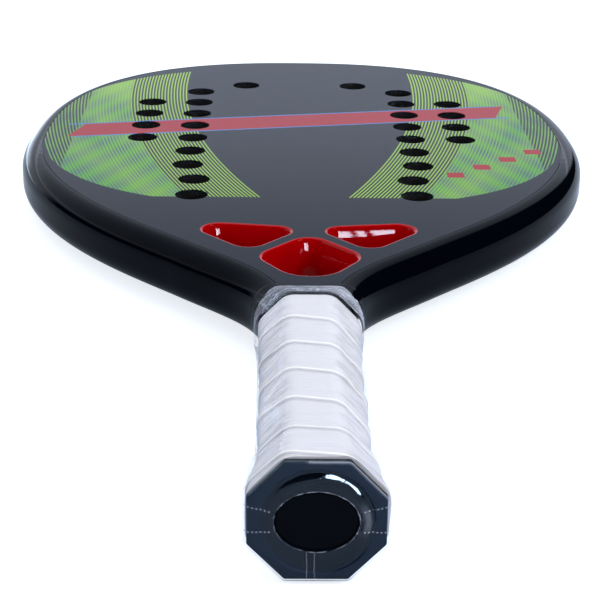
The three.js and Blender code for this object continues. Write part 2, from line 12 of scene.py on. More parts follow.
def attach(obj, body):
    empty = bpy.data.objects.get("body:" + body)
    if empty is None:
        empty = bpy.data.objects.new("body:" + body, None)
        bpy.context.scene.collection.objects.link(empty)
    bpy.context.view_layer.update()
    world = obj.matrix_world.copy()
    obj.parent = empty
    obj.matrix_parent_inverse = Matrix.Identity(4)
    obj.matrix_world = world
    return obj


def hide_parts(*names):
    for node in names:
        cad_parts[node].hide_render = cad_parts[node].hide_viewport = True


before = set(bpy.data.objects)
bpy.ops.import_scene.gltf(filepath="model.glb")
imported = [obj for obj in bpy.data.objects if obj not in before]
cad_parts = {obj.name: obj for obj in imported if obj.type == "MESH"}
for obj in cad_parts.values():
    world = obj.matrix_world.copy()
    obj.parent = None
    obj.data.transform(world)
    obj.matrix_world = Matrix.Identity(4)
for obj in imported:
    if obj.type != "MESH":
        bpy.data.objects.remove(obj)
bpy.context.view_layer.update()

bl_info = {
    "name": "Beach Tennis Racket",
    "version": (1, 0, 0),
    "blender": (4, 5, 0),
    "location": "View3D > Sidebar > Racket",
    "description": "Dresses the packed frame of a beach tennis racket",
    "category": "Object",
}

MM = 0.001
RIM_SHIFT = 0.4

# Outline, as in the part's source
LENGTH = 491.0
HALF_WIDTH = 125.0
HALF_THICKNESS = 11.0
WIDEST_Y = 338.5
CROWN_POWER = 2.42
FLANK_PULL = 81.0
WAIST = Vector((50.5, 185.3))
WAIST_LEAN = math.radians(41.9)
WAIST_PULL_UP = 33.1
WAIST_PULL_DOWN = 28.1
NECK = Vector((16.8, 127.5))
NECK_PULL = 26.2
EDGE_ROUND = 8.5
EDGE_STEPS = 14
HEAD_TUBE_WIDTH = 15.0
THROAT_TUBE_WIDTH = 12.4
SKIN_WALL = 0.8
SKIN_END_Y = 145.7
SKIN_REACH = 0.02
FIT_GAP = 0.3
SEAT_REST = 0.4
TOUCH = 0.001
LEVEL_NORMAL = 0.9999

# Shafts inside the handle
SHAFT_START_Y = 8.0
SHAFT_END_Y = 126.7
SHAFT_X = 10.5
SHAFT_WIDTH = 8.3
SHAFT_HALF = 7.0
SHAFT_ROUND = 3.0

# Drilled holes
HOLE_PITCH = 21.2
TOP_ROW_Y = 418.5
INNER_COLUMN_X = 49.25
OUTER_COLUMN_X = 71.875
LOW_PAIR_SHIFT = 3.7
CROWN_HOLE = (27.0, 432.5)
LIP_STEPS = 3

# Bridge and throat openings
BRIDGE_CENTRE_Y = 344.57
FOAM_ARC_RADIUS = 118.7
ARC_STEPS = 60
SIDE_OPENING = [(0.197, 208.95), (22.42, 181.21), (52.99, 216.84)]
SIDE_ROUNDS = [6.7, 7.5, 7.8]
MIDDLE_OPENING = [(0.0, 143.7), (20.78, 176.49), (0.0, 201.89), (-20.78, 176.49)]
MIDDLE_ROUNDS = [13.3, 10.4, 8.2, 10.4]
OPENING_SHIFT = 1.1
LOOP_STEPS = 16
LINER_ROLL = 0.6
LINER_FLAT = 0.08
LINER_LEAN = math.radians(65)

# Handle octagon and what spreads it
OCTAGON = [(13, -4.6), (13, 4.6), (6.2, 11.75), (-6.2, 11.75)]
OCTAGON += [(-x, -y) for x, y in OCTAGON]
CORNER_STEPS = 4
SIDE_STEPS = 12
FACET_ROUND = 1.0
GRIP_ROUND = 3.6
FLANGE_FLARE = 5.65
FLANGE_DEPTH = 2.6
FLANGE_BEVEL = 0.6
CAP_LENGTH = 24.0
CAP_FLARE = 3.25
SKIRT_FLARE = 1.0
FLARE_POWER = 1.4
GRIP_RELEASE = 5.0
FILM_RELEASE = 8.0
COLLAR_START_Y = 104.0
COLLAR_FLARE = 1.4
HANDLE_END_Y = 126.4
GRIP_START_Y = 2.9
DISH_RADIUS = 15.3
DISH_LIP = 0.35
DISH_SLOPE = 1.3
DISH_DEPTH = 0.8
BADGE_HALF = (11.0, 8.5)
BADGE_GAP = 0.3
BADGE_SEAT = 0.6
BADGE_PROFILE = [(0, 1.4), (0, 0.55), (-0.08, 0.44), (-0.25, 0.4), (-2, 0.385), (-5, 0.37), (-8.2, 0.36)]
FILM_OVER = 3.7
FILM_END_Y = 127.8
FILM_SIDE_Y = 131.5
FILM_TOP_Y = 143.9
MOUTH_ACROSS = 18.6
MOUTH_UP = 11.75
MOUTH_ROUND = 7.5
FILM_STEPS = 150
FILM_LIFT = 0.1
FILM_FACE_Y = -0.34
FILM_FACE_PROFILE = [(0.0, -0.34), (0.03, -0.3), (0.06, -0.1), (0.09, 0.15), (0.12, 0.27), (0.16, 0.3)]
FILM_FACE_PROFILE += [(0.22, 0.24), (0.28, 0.08), (0.35, -0.12), (0.42, -0.27), (0.5, -0.33), (0.58, -0.33)]
FILM_FACE_PROFILE += [(0.68, -0.29), (0.78, -0.22), (0.88, -0.14), (0.95, -0.08), (1.0, -0.03)]

# Cushion and band of the overgrip
CUSHION_WALL = 1.2
CUSHION_STEPS = 120
BAND_FLOOR = 2.1
BAND_TIP = 2.0
BAND_END_Y = 125.2
BAND_GAP = -0.05
BAND_SQUEEZE = 0.02
CLIMB_START = 0.6
CLIMB_LENGTH = 3.5
HEM_ROUND = 0.7
BEAD_HEIGHT = 0.13
BEAD_PLACE = 0.75
CREASE_SKEW = 0.12
CREASE_GAIN = 2.2
BAND_PLACES = [0.0, 0.08, 0.22, 0.42, 0.75, 1.1, 1.6, 2.3, 3.4, 4.7, 6.0, 7.5, 9.0, 10.5, 12.0, 13.5]
BAND_PLACES += [15.0, 16.5, 18.0, 19.0, 19.6, 20.05, 20.5, 23.0, 26.0]

# Camera, solved from the rows of holes and the butt
EYE = Vector((-0.01109, -0.37589, 0.209))
EYE_YAW = math.radians(1.055)
EYE_PITCH = math.radians(21.433)
EYE_ROLL = math.radians(0.767)
EYE_LENS = 95.98
EYE_SENSOR = 36.0


class RacketSizes(bpy.types.PropertyGroup):
    hole_diameter: FloatProperty(name="Hole diameter", description="Width of each drilled hole",
        default=0.013, min=0.01, max=0.014, unit="LENGTH")
    hole_lip: FloatProperty(name="Hole lip", description="Rounding at the rim of each hole",
        default=0.0004, min=0.0001, max=0.001, unit="LENGTH")
    liner_wall: FloatProperty(name="Liner wall", description="Thickness of the lined opening walls",
        default=0.002, min=0.001, max=0.003, unit="LENGTH")
    liner_belly: FloatProperty(name="Liner belly", description="How far the opening walls bulge halfway down",
        default=0.002, min=0.0, max=0.0025, unit="LENGTH")
    band_width: FloatProperty(name="Band width", description="Width of the overgrip band",
        default=0.026, min=0.022, max=0.03, unit="LENGTH")
    band_pitch: FloatProperty(name="Band pitch", description="Advance of the overgrip band in each turn",
        default=0.0205, min=0.018, max=0.024, unit="LENGTH")
    band_thickness: FloatProperty(name="Band thickness", description="Thickness of the overgrip band",
        default=0.0006, min=0.0004, max=0.0009, unit="LENGTH")
    band_creases: FloatProperty(name="Band creases", description="Height of the overgrip's creases",
        default=0.00022, min=0.0, max=0.0005, unit="LENGTH")
    film_creases: FloatProperty(name="Film creases", description="Height of the film's creases",
        default=0.0003, min=0.0, max=0.0008, unit="LENGTH")


class RacketColours(bpy.types.PropertyGroup):
    lacquer: FloatVectorProperty(name="Lacquer", description="Glossy edge and throat",
        default=(0.0004, 0.0008, 0.0022), subtype="COLOR", min=0.0, max=1.0)
    face: FloatVectorProperty(name="Face", description="Satin ground of both faces",
        default=(0.005, 0.0075, 0.014), subtype="COLOR", min=0.0, max=1.0)
    lime: FloatVectorProperty(name="Lime", description="Brightest lines of the print",
        default=(0.235, 0.395, 0.045), subtype="COLOR", min=0.0, max=1.0)
    green: FloatVectorProperty(name="Green", description="Middle lines of the print",
        default=(0.04, 0.235, 0.03), subtype="COLOR", min=0.0, max=1.0)
    teal: FloatVectorProperty(name="Teal", description="Darkest lines of the print",
        default=(0.028, 0.11, 0.105), subtype="COLOR", min=0.0, max=1.0)
    red_print: FloatVectorProperty(name="Red print", description="Band and marks of the print",
        default=(0.27, 0.006, 0.012), subtype="COLOR", min=0.0, max=1.0)
    keyline: FloatVectorProperty(name="Keyline", description="Fine line beside the red band",
        default=(0.06, 0.16, 0.45), subtype="COLOR", min=0.0, max=1.0)
    liner: FloatVectorProperty(name="Liner", description="Lined walls of the throat openings",
        default=(0.3, 0.0, 0.001), subtype="COLOR", min=0.0, max=1.0)
    grip: FloatVectorProperty(name="Grip", description="Wound overgrip",
        default=(0.61, 0.615, 0.68), subtype="COLOR", min=0.0, max=1.0)
    cap: FloatVectorProperty(name="Cap", description="Moulded butt cap",
        default=(0.0015, 0.0068, 0.021), subtype="COLOR", min=0.0, max=1.0)
    badge: FloatVectorProperty(name="Badge", description="Oval on the butt",
        default=(0.001, 0.0014, 0.003), subtype="COLOR", min=0.0, max=1.0)
    foam: FloatVectorProperty(name="Foam", description="Foam core seen inside the holes",
        default=(0.006, 0.006, 0.007), subtype="COLOR", min=0.0, max=1.0)


# Curves and loops


def lerp(a, b, share):
    return a + (b - a) * share


def ease(share):
    share = min(max(share, 0.0), 1.0)
    return share * share * (3 - 2 * share)


def bezier(a, b, c, d, steps):
    points = []
    for i in range(steps + 1):
        t = i / steps
        points.append(a * (1 - t) ** 3 + b * 3 * t * (1 - t) ** 2 + c * 3 * t * t * (1 - t) + d * t**3)
    return points


def half_outline():
    """Right half of the outline from the neck to the tip, with a point where the skins end."""
    lean = Vector((math.sin(WAIST_LEAN), math.cos(WAIST_LEAN)))
    widest = Vector((HALF_WIDTH, WIDEST_Y))
    throat = bezier(NECK, NECK + Vector((0, NECK_PULL)), WAIST - lean * WAIST_PULL_DOWN, WAIST, 48)
    flank = bezier(WAIST, WAIST + lean * WAIST_PULL_UP, widest - Vector((0, FLANK_PULL)), widest, 48)
    crown = []
    for i in range(1, 65):
        angle = math.pi / 2 * i / 64
        side = max(math.cos(angle), 0) ** (2 / CROWN_POWER) if i < 64 else 0
        rise = math.sin(angle) ** (2 / CROWN_POWER)
        crown.append(Vector((HALF_WIDTH * side, WIDEST_Y + (LENGTH - WIDEST_Y) * rise)))
    points = throat + flank[1:] + crown
    for i, (p, q) in enumerate(zip(points, points[1:])):
        if p.y < SKIN_END_Y < q.y:
            points.insert(i + 1, p.lerp(q, (SKIN_END_Y - p.y) / (q.y - p.y)))
            break
    return points


def outline_stations():
    """Stations on the right half: the point, the way inward and the tube's width there."""
    points = half_outline()
    stations = []
    for i, point in enumerate(points):
        along = points[min(i + 1, len(points) - 1)] - points[max(i - 1, 0)]
        if i == 0:
            along = Vector((0, 1))
        if i == len(points) - 1:
            along = Vector((-1, 0))
        along.normalize()
        share = ease((point.y - WAIST.y) / (WIDEST_Y - WAIST.y))
        width = lerp(THROAT_TUBE_WIDTH, HEAD_TUBE_WIDTH, share) + FIT_GAP
        stations.append((point, Vector((-along.y, along.x)), width))
    return stations


def both_sides(points):
    """Loop through the right half's points and their mirror images."""
    return points + [Vector((-p.x, p.y)) for p in reversed(points[:-1])]


def corner_arcs(corners, insets, radii, steps):
    """Arcs at a convex loop's corners, as points that each have their direction outward."""
    corners = [Vector(c) for c in corners]
    arcs = []
    for i, (corner, inset, radius) in enumerate(zip(corners, insets, radii)):
        edge_in, edge_out = corner - corners[i - 1], corners[(i + 1) % len(corners)] - corner
        start = math.atan2(-edge_in.x, edge_in.y)
        turn = (math.atan2(-edge_out.x, edge_out.y) - start) % (2 * math.pi)
        before, after = -edge_in.normalized(), edge_out.normalized()
        half_sine = math.sqrt((1 - before.dot(after)) / 2)
        centre = corner + (before + after).normalized() * (inset / half_sine)
        angles = [start + turn * k / steps for k in range(steps + 1)]
        normals = [Vector((math.cos(a), math.sin(a))) for a in angles]
        arcs.append([(centre + normal * radius, normal) for normal in normals])
    return arcs


def rounded_loop(corners, rounds, grow):
    """Loop with arcs for corners, grown outward on the same arc centres."""
    arcs = corner_arcs(corners, rounds, [radius + grow for radius in rounds], LOOP_STEPS)
    return [point for arc in arcs for point, _ in arc]


def hole_places():
    """Middles of the 28 holes: the crown's, nine rows of the inner columns and four of the outer ones."""
    shifts = [0] * 7 + [LOW_PAIR_SHIFT] * 2
    inner = [(INNER_COLUMN_X - shift, TOP_ROW_Y - i * HOLE_PITCH) for i, shift in enumerate(shifts)]
    outer = [(OUTER_COLUMN_X, TOP_ROW_Y - (i + 1) * HOLE_PITCH) for i in range(4)]
    right = [CROWN_HOLE] + inner + outer
    return right + [(-x, y) for x, y in right]


def circle(centre, radius, sides=48):
    angles = [2 * math.pi * k / sides for k in range(sides)]
    return [Vector((centre[0] + radius * math.cos(a), centre[1] + radius * math.sin(a))) for a in angles]


# Meshes


def new_piece(mesh, material, smooth_angle=35, level=False):
    """Object from a mesh in millimetres from the butt's rim, which rides on the frame."""
    mesh.transform(Matrix.Scale(MM, 4) @ Matrix.Translation((0, -RIM_SHIFT, 0)))
    mesh.set_sharp_from_angle(angle=math.radians(smooth_angle))
    if level:
        for face in mesh.polygons:
            face.use_smooth = abs(face.normal.z) < LEVEL_NORMAL
    mesh.materials.append(material)
    piece = bpy.data.objects.new(mesh.name, mesh)
    bpy.context.scene.collection.objects.link(piece)
    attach(piece, "root")
    return piece


def finished_mesh(name, bm):
    for face in bm.faces:
        face.smooth = True
    bmesh.ops.recalc_face_normals(bm, faces=bm.faces)
    mesh = bpy.data.meshes.new(name)
    bm.to_mesh(mesh)
    bm.free()
    return mesh


def join_rows(bm, rows):
    for here, after in zip(rows, rows[1:]):
        for k in range(len(here)):
            bm.faces.new((here[k - 1], here[k], after[k], after[k - 1]))


def loft(name, rings, ends="closed"):
    """Mesh through rings of equal count. Its ends are closed, open or joined to each other."""
    bm = bmesh.new()
    rows = [[bm.verts.new(p) for p in ring] for ring in rings]
    join_rows(bm, rows + rows[:1] if ends == "joined" else rows)
    if ends == "closed":
        bm.faces.new(rows[0])
        bm.faces.new(rows[-1])
    return finished_mesh(name, bm)


def plate(name, walls):
    """Plate between flat faces. Each wall is a list of rings from the upper face to the lower one."""
    bm = bmesh.new()
    rows = [[[bm.verts.new(p) for p in ring] for ring in wall] for wall in walls]
    for end in (0, -1):
        rings = [wall[end] for wall in rows]
        rims = [bm.edges.new((ring[k - 1], ring[k])) for ring in rings for k in range(len(ring))]
        bmesh.ops.triangle_fill(bm, use_beauty=True, edges=rims)
    for wall in rows:
        join_rows(bm, wall)
    return finished_mesh(name, bm)


def raised(loop, z):
    return [(p.x, p.y, z) for p in loop]


def straight_wall(loop, high, low):
    return [raised(loop, high), raised(loop, low)]


# Node work


def math_method(operation, turned=False):
    """Method of a level that adds a math node."""
    if turned:
        return lambda level, other: level.graph.math(operation, other, level)
    return lambda level, *others: level.graph.math(operation, level, *others)


class Level:
    """Number worked out by the nodes, so that they can be written as sums."""

    def __init__(self, graph, socket):
        self.graph, self.socket = graph, socket

    __add__ = math_method("ADD")
    __sub__ = math_method("SUBTRACT")
    __rsub__ = math_method("SUBTRACT", turned=True)
    __mul__ = math_method("MULTIPLY")
    __truediv__ = math_method("DIVIDE")
    __gt__ = math_method("GREATER_THAN")
    __lt__ = math_method("LESS_THAN")
    __abs__ = math_method("ABSOLUTE")


def largest(first, *levels):
    for level in levels:
        first = first.graph.math("MAXIMUM", first, level)
    return first


class Graph:
    """Short way to write the nodes of a material or of the world."""

    def __init__(self, owner, shader="Principled BSDF"):
        owner.use_nodes = True
        self.material = owner
        self.tree = owner.node_tree
        self.surface = self.tree.nodes[shader]

    def feed(self, value, socket):
        """Links a level or a socket, or sets a plain value."""
        value = value.socket if isinstance(value, Level) else value
        if isinstance(value, bpy.types.NodeSocket):
            self.tree.links.new(value, socket)
        else:
            socket.default_value = value

    def fill(self, node, inputs):
        for key, value in inputs.items():
            self.feed(value, node.inputs[key.replace("_", " ")])

    def add(self, kind, settings=None, **inputs):
        node = self.tree.nodes.new(kind)
        for key, value in (settings or {}).items():
            setattr(node, key, value)
        self.fill(node, inputs)
        return node

    def set(self, **inputs):
        self.fill(self.surface, inputs)

    def math(self, operation, *values, clamp=False):
        node = self.add("ShaderNodeMath", {"operation": operation, "use_clamp": clamp})
        for value, socket in zip(values, node.inputs):
            self.feed(value, socket)
        return Level(self, node.outputs[0])

    def ramp(self, value, low, high):
        """Share of the way from low to high, eased at both ends."""
        settings = {"interpolation_type": "SMOOTHSTEP"}
        node = self.add("ShaderNodeMapRange", settings, Value=value, From_Min=low, From_Max=high)
        return Level(self, node.outputs[0])

    def within(self, value, low, high, soft=0.0004):
        """One between two limits and nought outside them."""
        return self.ramp(value, low - soft, low + soft) * (1 - self.ramp(value, high - soft, high + soft))

    def stripes(self, value, pitch, share, soft=0.12):
        """Lines across a value: one in each pitch, as wide as a share of it."""
        away = abs(self.math("FRACT", value / pitch) - 0.5)
        return 1 - self.ramp(away, share / 2 - soft / 2, share / 2 + soft / 2)

    def blend(self, share, a, b):
        node = self.add("ShaderNodeMix", {"data_type": "RGBA"})
        self.feed(share, node.inputs[0])
        for colour, socket in ((a, node.inputs[6]), (b, node.inputs[7])):
            linked = isinstance(colour, bpy.types.NodeSocket)
            self.feed(colour if linked else (*colour[:3], 1.0), socket)
        return node.outputs[2]

    def place(self, kind="Object"):
        """The piece's own coordinates in metres, or the world's directions, as three levels."""
        coordinates = self.add("ShaderNodeTexCoord").outputs[kind]
        split = self.add("ShaderNodeSeparateXYZ", Vector=coordinates)
        return [Level(self, socket) for socket in split.outputs]

    def attribute(self, name):
        node = self.add("ShaderNodeAttribute", {"attribute_name": name})
        return Level(self, node.outputs["Fac"])

    def rays(self, **levels):
        """Level by the kind of ray that looks: the largest of those named."""
        path = self.add("ShaderNodeLightPath")
        shares = [Level(self, path.outputs[f"Is {key.title()} Ray"]) * level for key, level in levels.items()]
        return largest(*shares)

    def noise(self, scale, detail=2.0, vector=None, roughness=0.5):
        if vector is None:
            vector = self.add("ShaderNodeTexCoord").outputs["Object"]
        node = self.add("ShaderNodeTexNoise", Scale=scale, Detail=detail, Roughness=roughness, Vector=vector)
        return Level(self, node.outputs[0])

    def bump(self, height, distance, strength=1.0):
        node = self.add("ShaderNodeBump", Strength=strength, Distance=distance, Height=height)
        self.set(Normal=node.outputs[0])


def new_finish(name):
    return Graph(bpy.data.materials.new(name))


def shades(colour, low, high):
    """Darker and lighter form of a colour."""
    return [c * low for c in colour], [c * high for c in colour]


# Print of the faces, in metres of the frame
BOW_CENTRE = (-0.456, 0.442)
BOW_RADIUS = 0.5125
FIELD_MIDDLE_Y = 0.352
FIELD_HALF = (0.1165, 0.118)
FIELD_POWER = 2.4
FIELD_Y = (0.2455, 0.47)
LINE_PITCH = 0.0015
RED_BAND_TURN = 11
RED_BAND_ACROSS = (0.3475, 0.3675)
RED_BAND_ALONG = (-0.214, -0.012)
KEYLINE_WIDTH = 0.0013
KEYLINE_ALONG = (-0.038, 0.168)
MARK_PLACES = ((0.064, 0.278), (0.0765, 0.29), (0.089, 0.302), (0.1015, 0.314))
MARK_HALF = 0.0036

# Finishes


def cloudy_finish(name, cloud, colours, rough, specular, grain=None):
    """Finish that drifts between two colours, with a roughness that drifts too and a fine grain."""
    g = new_finish(name)
    share = g.noise(*cloud)
    scale, drift, level = rough
    g.set(Base_Color=g.blend(share, *colours), Specular_IOR_Level=specular)
    g.set(Roughness=(g.noise(scale) if scale else share) * drift + level)
    if grain:
        (scale, detail), depth, strength = grain
        g.bump(g.noise(scale, detail), depth, strength)
    return g.material


def lacquer_finish(colours):
    tones, grain = shades(colours.lacquer, 0.8, 1.3), ((220.0, 1.0), 0.00004, 0.5)
    return cloudy_finish("edge_lacquer", (35.0, 3.0), tones, (160.0, 0.03, 0.035), 0.035, grain)


def liner_finish(colours):
    tones, grain = shades(colours.liner, 0.85, 1.15), ((700.0, 2.0), 0.000005, 1.0)
    return cloudy_finish("liner_red", (120.0, 2.0), tones, (300.0, 0.02, 0.02), 0.12, grain)


def badge_finish(colours):
    tones = shades(colours.badge, 1.0, 1.6)
    return cloudy_finish("badge_gloss", (200.0, 2.0), tones, (None, 0.05, 0.1), 0.03)


def turned(x, y, degrees):
    """Distance along a direction in the face's plane."""
    angle = math.radians(degrees)
    return x * math.cos(angle) + y * math.sin(angle)


def printed_fields(g, x, y, colours):
    """Bowed line fields on both flanks: returns their colour and where they are."""
    side = abs(x)
    far_x, far_y = side - BOW_CENTRE[0], y - BOW_CENTRE[1]
    bow = g.math("SQRT", far_x * far_x + far_y * far_y) - BOW_RADIUS
    out_x, out_y = side / FIELD_HALF[0], abs((y - FIELD_MIDDLE_Y) / FIELD_HALF[1])
    reach = g.math("POWER", out_x, FIELD_POWER) + g.math("POWER", out_y, FIELD_POWER)
    field = g.ramp(bow, 0.0, 0.0003) * (1 - g.ramp(reach, 0.99, 1.0)) * g.within(y, *FIELD_Y)
    lines = g.stripes(bow, LINE_PITCH, 0.46, 0.3)
    broad = g.stripes(turned(side, y, 24), 0.0125, 0.45, 0.6)
    second = g.stripes(turned(side, y, -31), 0.031, 0.5, 0.5)
    deep = g.blend(broad, colours.teal, colours.green)
    deep = g.blend(second * 0.25, deep, colours.lime)
    middle, outer = g.ramp(bow, 0.027, 0.0285), g.ramp(bow, 0.0445, 0.0455)
    colour = g.blend(lines * (1 - outer * 0.19 - middle * 0.45), deep, colours.lime)
    colour = g.blend(g.ramp(y, 0.37, 0.45) * 0.4, colour, [c * 1.5 for c in colours.lime])
    filled = middle * (1 - g.ramp(side, 0.1025, 0.1035))
    return colour, field * largest(lines, filled)


def printed_band(g, x, y):
    """Straight slanted red band with cut ends, and its keylines."""
    across, along = turned(x, y, 90 + RED_BAND_TURN), turned(x, y, RED_BAND_TURN)
    low, high = RED_BAND_ACROSS
    body = g.within(across, low, high) * g.within(along - across * 0.5, *RED_BAND_ALONG)
    lines = largest(g.within(across, low - KEYLINE_WIDTH, low), g.within(across, high, high + KEYLINE_WIDTH))
    return body, lines * g.within(along, *KEYLINE_ALONG)


def printed_marks(x, y):
    """Row of small plain squares on the right flank."""
    return largest(*[largest(abs(x - mark_x), abs(y - mark_y)) < MARK_HALF for mark_x, mark_y in MARK_PLACES])


def face_finish(colours):
    """Satin ground with the print, which stays on the outer surface and off the walls of the holes."""
    g = new_finish("printed_face")
    x, y, z = g.place()
    ground = g.blend(g.noise(18.0, 4.0), *shades(colours.face, 0.85, 1.2))
    green, green_share = printed_fields(g, x, y, colours)
    band, lines = printed_band(g, x, y)
    colour = g.blend(green_share, ground, green)
    colour = g.blend(lines, colour, colours.keyline)
    colour = g.blend(largest(band, printed_marks(x, y)), colour, colours.red_print)
    g.set(Base_Color=g.blend(g.ramp(abs(z), 0.01085, 0.01092), ground, colour))
    g.set(Roughness=g.noise(90.0, 3.0) * 0.06 + 0.13, Specular_IOR_Level=0.027)
    g.bump(g.noise(900.0, 2.0), 0.00003, 0.35)
    return g.material


def foam_finish(colours, name="core_foam"):
    g = new_finish(name)
    cells = g.add("ShaderNodeTexVoronoi", Scale=900.0).outputs["Distance"]
    g.set(Base_Color=g.blend(cells, *shades(colours.foam, 0.6, 1.8)), Roughness=0.9, Specular_IOR_Level=0.15)
    g.bump(cells, 0.0003, 0.6)
    return g.material


def composite_finish(name, colour):
    g = new_finish(name)
    x, y, z = g.place()
    weave = abs(g.stripes(x + y, 0.003, 0.5, 0.3) - g.stripes(x - y, 0.003, 0.5, 0.3))
    g.set(Base_Color=g.blend(weave, *shades(colour, 0.7, 1.3)), Roughness=weave * 0.15 + 0.35)
    g.bump(weave, 0.0001, 0.4)
    return g.material


def cushion_finish():
    g = new_finish("cushion_rubber")
    grain = g.noise(1500.0, 3.0)
    g.set(Base_Color=g.blend(grain, (0.03, 0.03, 0.032), (0.06, 0.06, 0.064)), Roughness=0.85)
    g.bump(grain, 0.0002, 0.6)
    return g.material


def around_noise(g, place, low, high, detail):
    """Noise drawn out round the handle and fine along it."""
    x, y, z = place
    spot = g.add("ShaderNodeCombineXYZ", X=x * low, Y=y * high, Z=z * low).outputs[0]
    return g.noise(1.0, detail, spot, 0.55)


def on_slants(g, place):
    """One on the slanted and side facets and nought on the upper and lower ones."""
    return g.ramp(abs(place[0]), 0.0055, 0.0095)


def band_finish(colours):
    """Matt weave: on the slants, grey creases darkened as painted shadow and fine streaks lightened as painted
    highlights; a painted highlight along the band's visible edge and a painted shadow line under that edge.
    """
    g = new_finish("overgrip_band")
    place = g.place()
    grain = g.noise(1400.0, 2.0)
    slants = on_slants(g, place)
    # Painted shadow: grey creases on the slanted facets darken the colour.
    folds_and_shadow = g.ramp(around_noise(g, place, 70.0, 330.0, 3.0), 0.47, 0.61) * (slants * 0.3 + 0.02)
    # Painted highlights: fine crease streaks lighten the colour.
    fine = g.ramp(around_noise(g, place, 60.0, 900.0, 2.0), 0.6, 0.75) * (slants * 0.45 + 0.2)
    colour = g.blend(grain, *shades(colours.grip, 0.97, 1.03))
    colour = g.blend(folds_and_shadow, colour, [c * 0.42 for c in colours.grip])
    colour = g.blend(fine, colour, (0.92, 0.92, 0.93))
    # Painted shadow line under each turn's visible edge, then a painted highlight along that edge.
    colour = g.blend(g.attribute("painted_hem_shadow") * 0.5, colour, (0.42, 0.41, 0.43))
    colour = g.blend(g.attribute("painted_hem_highlight") * 0.9, colour, (0.95, 0.94, 0.9))
    g.set(Base_Color=colour, Roughness=grain * 0.2 + 0.5, Specular_IOR_Level=0.3)
    g.bump(grain * 0.1 + (fine - folds_and_shadow), 0.0005, 0.5)
    return g.material


def film_dots(g, x, z):
    """Perforations in two rows across the butt, and the two lines of the seam under its opening."""
    side = abs(x)
    rows = []
    for height, slope in ((0.0, 0.25), (-0.0029, 0.0)):
        rows.append(1 - g.ramp(abs(z - side * slope - height), 0.00006, 0.00026))
    dots = largest(*rows) * g.ramp(side, 0.0115, 0.0122) * g.stripes(x, 0.0011, 0.36, 0.2)
    under = 1 - g.ramp(z, -0.0092, -0.0088)
    wander = g.noise(300.0, 1.0) * 0.0008 - 0.0004
    for centre in (-0.0026, -0.0005):
        line = (1 - g.ramp(abs(x - centre + wander), 0.00004, 0.0002)) * under
        dots = largest(dots, line * 0.35)
    return dots


def butt_marks_and_highlights(g, place):
    """White marks on the butt's film: perforations, a painted highlight on the opening's ragged lip, a painted
    highlight along the upper right of the flange's edge and a grey painted reflection right of the badge.
    """
    x, y, z = place
    oval_x, oval_z = x / 0.01135, z / 0.00885
    oval = oval_x * oval_x + oval_z * oval_z
    # Painted highlight on the film's ragged lip round the opening.
    lip = (1 - g.ramp(oval, 1.02, 1.07)) * g.ramp(g.noise(700.0, 2.0), 0.35, 0.6)
    past_dish = (x * x + z * z) > 0.000272
    # Painted highlight along the upper right of the flange's edge.
    bevel_highlight = g.within(y, -0.00062, -0.0004, 0.00005) * past_dish * g.ramp(x + z, 0.014, 0.016)
    # Grey painted reflection on the film right of the badge.
    swell = g.within(oval, 1.25, 1.62, 0.12) * g.within(z, -0.003, 0.0045, 0.002) * g.ramp(x, 0.0, 0.01)
    return largest(film_dots(g, x, z), lip * 0.7, bevel_highlight * 0.8, swell * 0.24)


def film_milk_and_highlights(g, place):
    """Share of the film that is white: milky haze at the throat with painted highlights on its creases and
    painted light stronger on its right side, painted highlight streaks on the grip, and the butt's marks.
    """
    x, y, z = place
    throat, butt = g.ramp(y, 0.1242, 0.1262), 1 - g.ramp(y, 0.0004, 0.0008)
    # Painted highlights: white streaks on the film over the grip, mostly on the slants.
    streak = g.ramp(around_noise(g, place, 65.0, 700.0, 3.0), 0.6, 0.72)
    painted_streak_highlights = streak * (on_slants(g, place) * 0.4 + 0.12) * (1 - butt)
    # Milky haze at the throat, with painted highlights along the crests of its creases and painted light
    # stronger on the right side.
    wave = around_noise(g, place, 130.0, 420.0, 3.0)
    ridge = 1 - g.ramp(abs(wave - 0.5), 0.0, 0.03)
    cloud = g.ramp(g.noise(110.0, 2.0), 0.3, 0.75)
    throat_haze_and_highlights = (ridge * 0.3 + (cloud * 0.13 + 0.16)) * (g.ramp(x, -0.012, 0.012) * 0.52 + 0.7)
    milk = painted_streak_highlights + throat_haze_and_highlights * throat
    return g.math("ADD", milk, butt_marks_and_highlights(g, place) * butt * 0.5, clamp=True)


def film_finish():
    """Clear sheet with gloss by its angle, strongest on the butt, and a white diffuse layer where it is milky
    or carries painted highlights and painted reflection.
    """
    g = new_finish("shrink_film")
    place = g.place()
    y = place[1]
    sheen = g.ramp(y, 0.122, 0.128) * 0.12 + (g.ramp(y, 0.0, 0.0006) * -0.74 + 0.92)
    rim = Level(g, g.add("ShaderNodeFresnel", IOR=1.45).outputs[0])
    layers = [
        g.add("ShaderNodeBsdfTransparent"),
        g.add("ShaderNodeBsdfGlossy", Color=(0.72, 0.86, 1.0, 1), Roughness=0.08),
        g.add("ShaderNodeBsdfDiffuse", Color=(0.72, 0.78, 0.95, 1)),
    ]
    shader = layers[0].outputs[0]
    for share, layer in zip((rim * sheen, film_milk_and_highlights(g, place)), layers[1:]):
        mix = g.add("ShaderNodeMixShader", Fac=share)
        g.feed(shader, mix.inputs[1])
        g.feed(layer.outputs[0], mix.inputs[2])
        shader = mix.outputs[0]
    g.feed(shader, g.tree.nodes["Material Output"].inputs[0])
    g.tree.nodes.remove(g.surface)
    return g.material


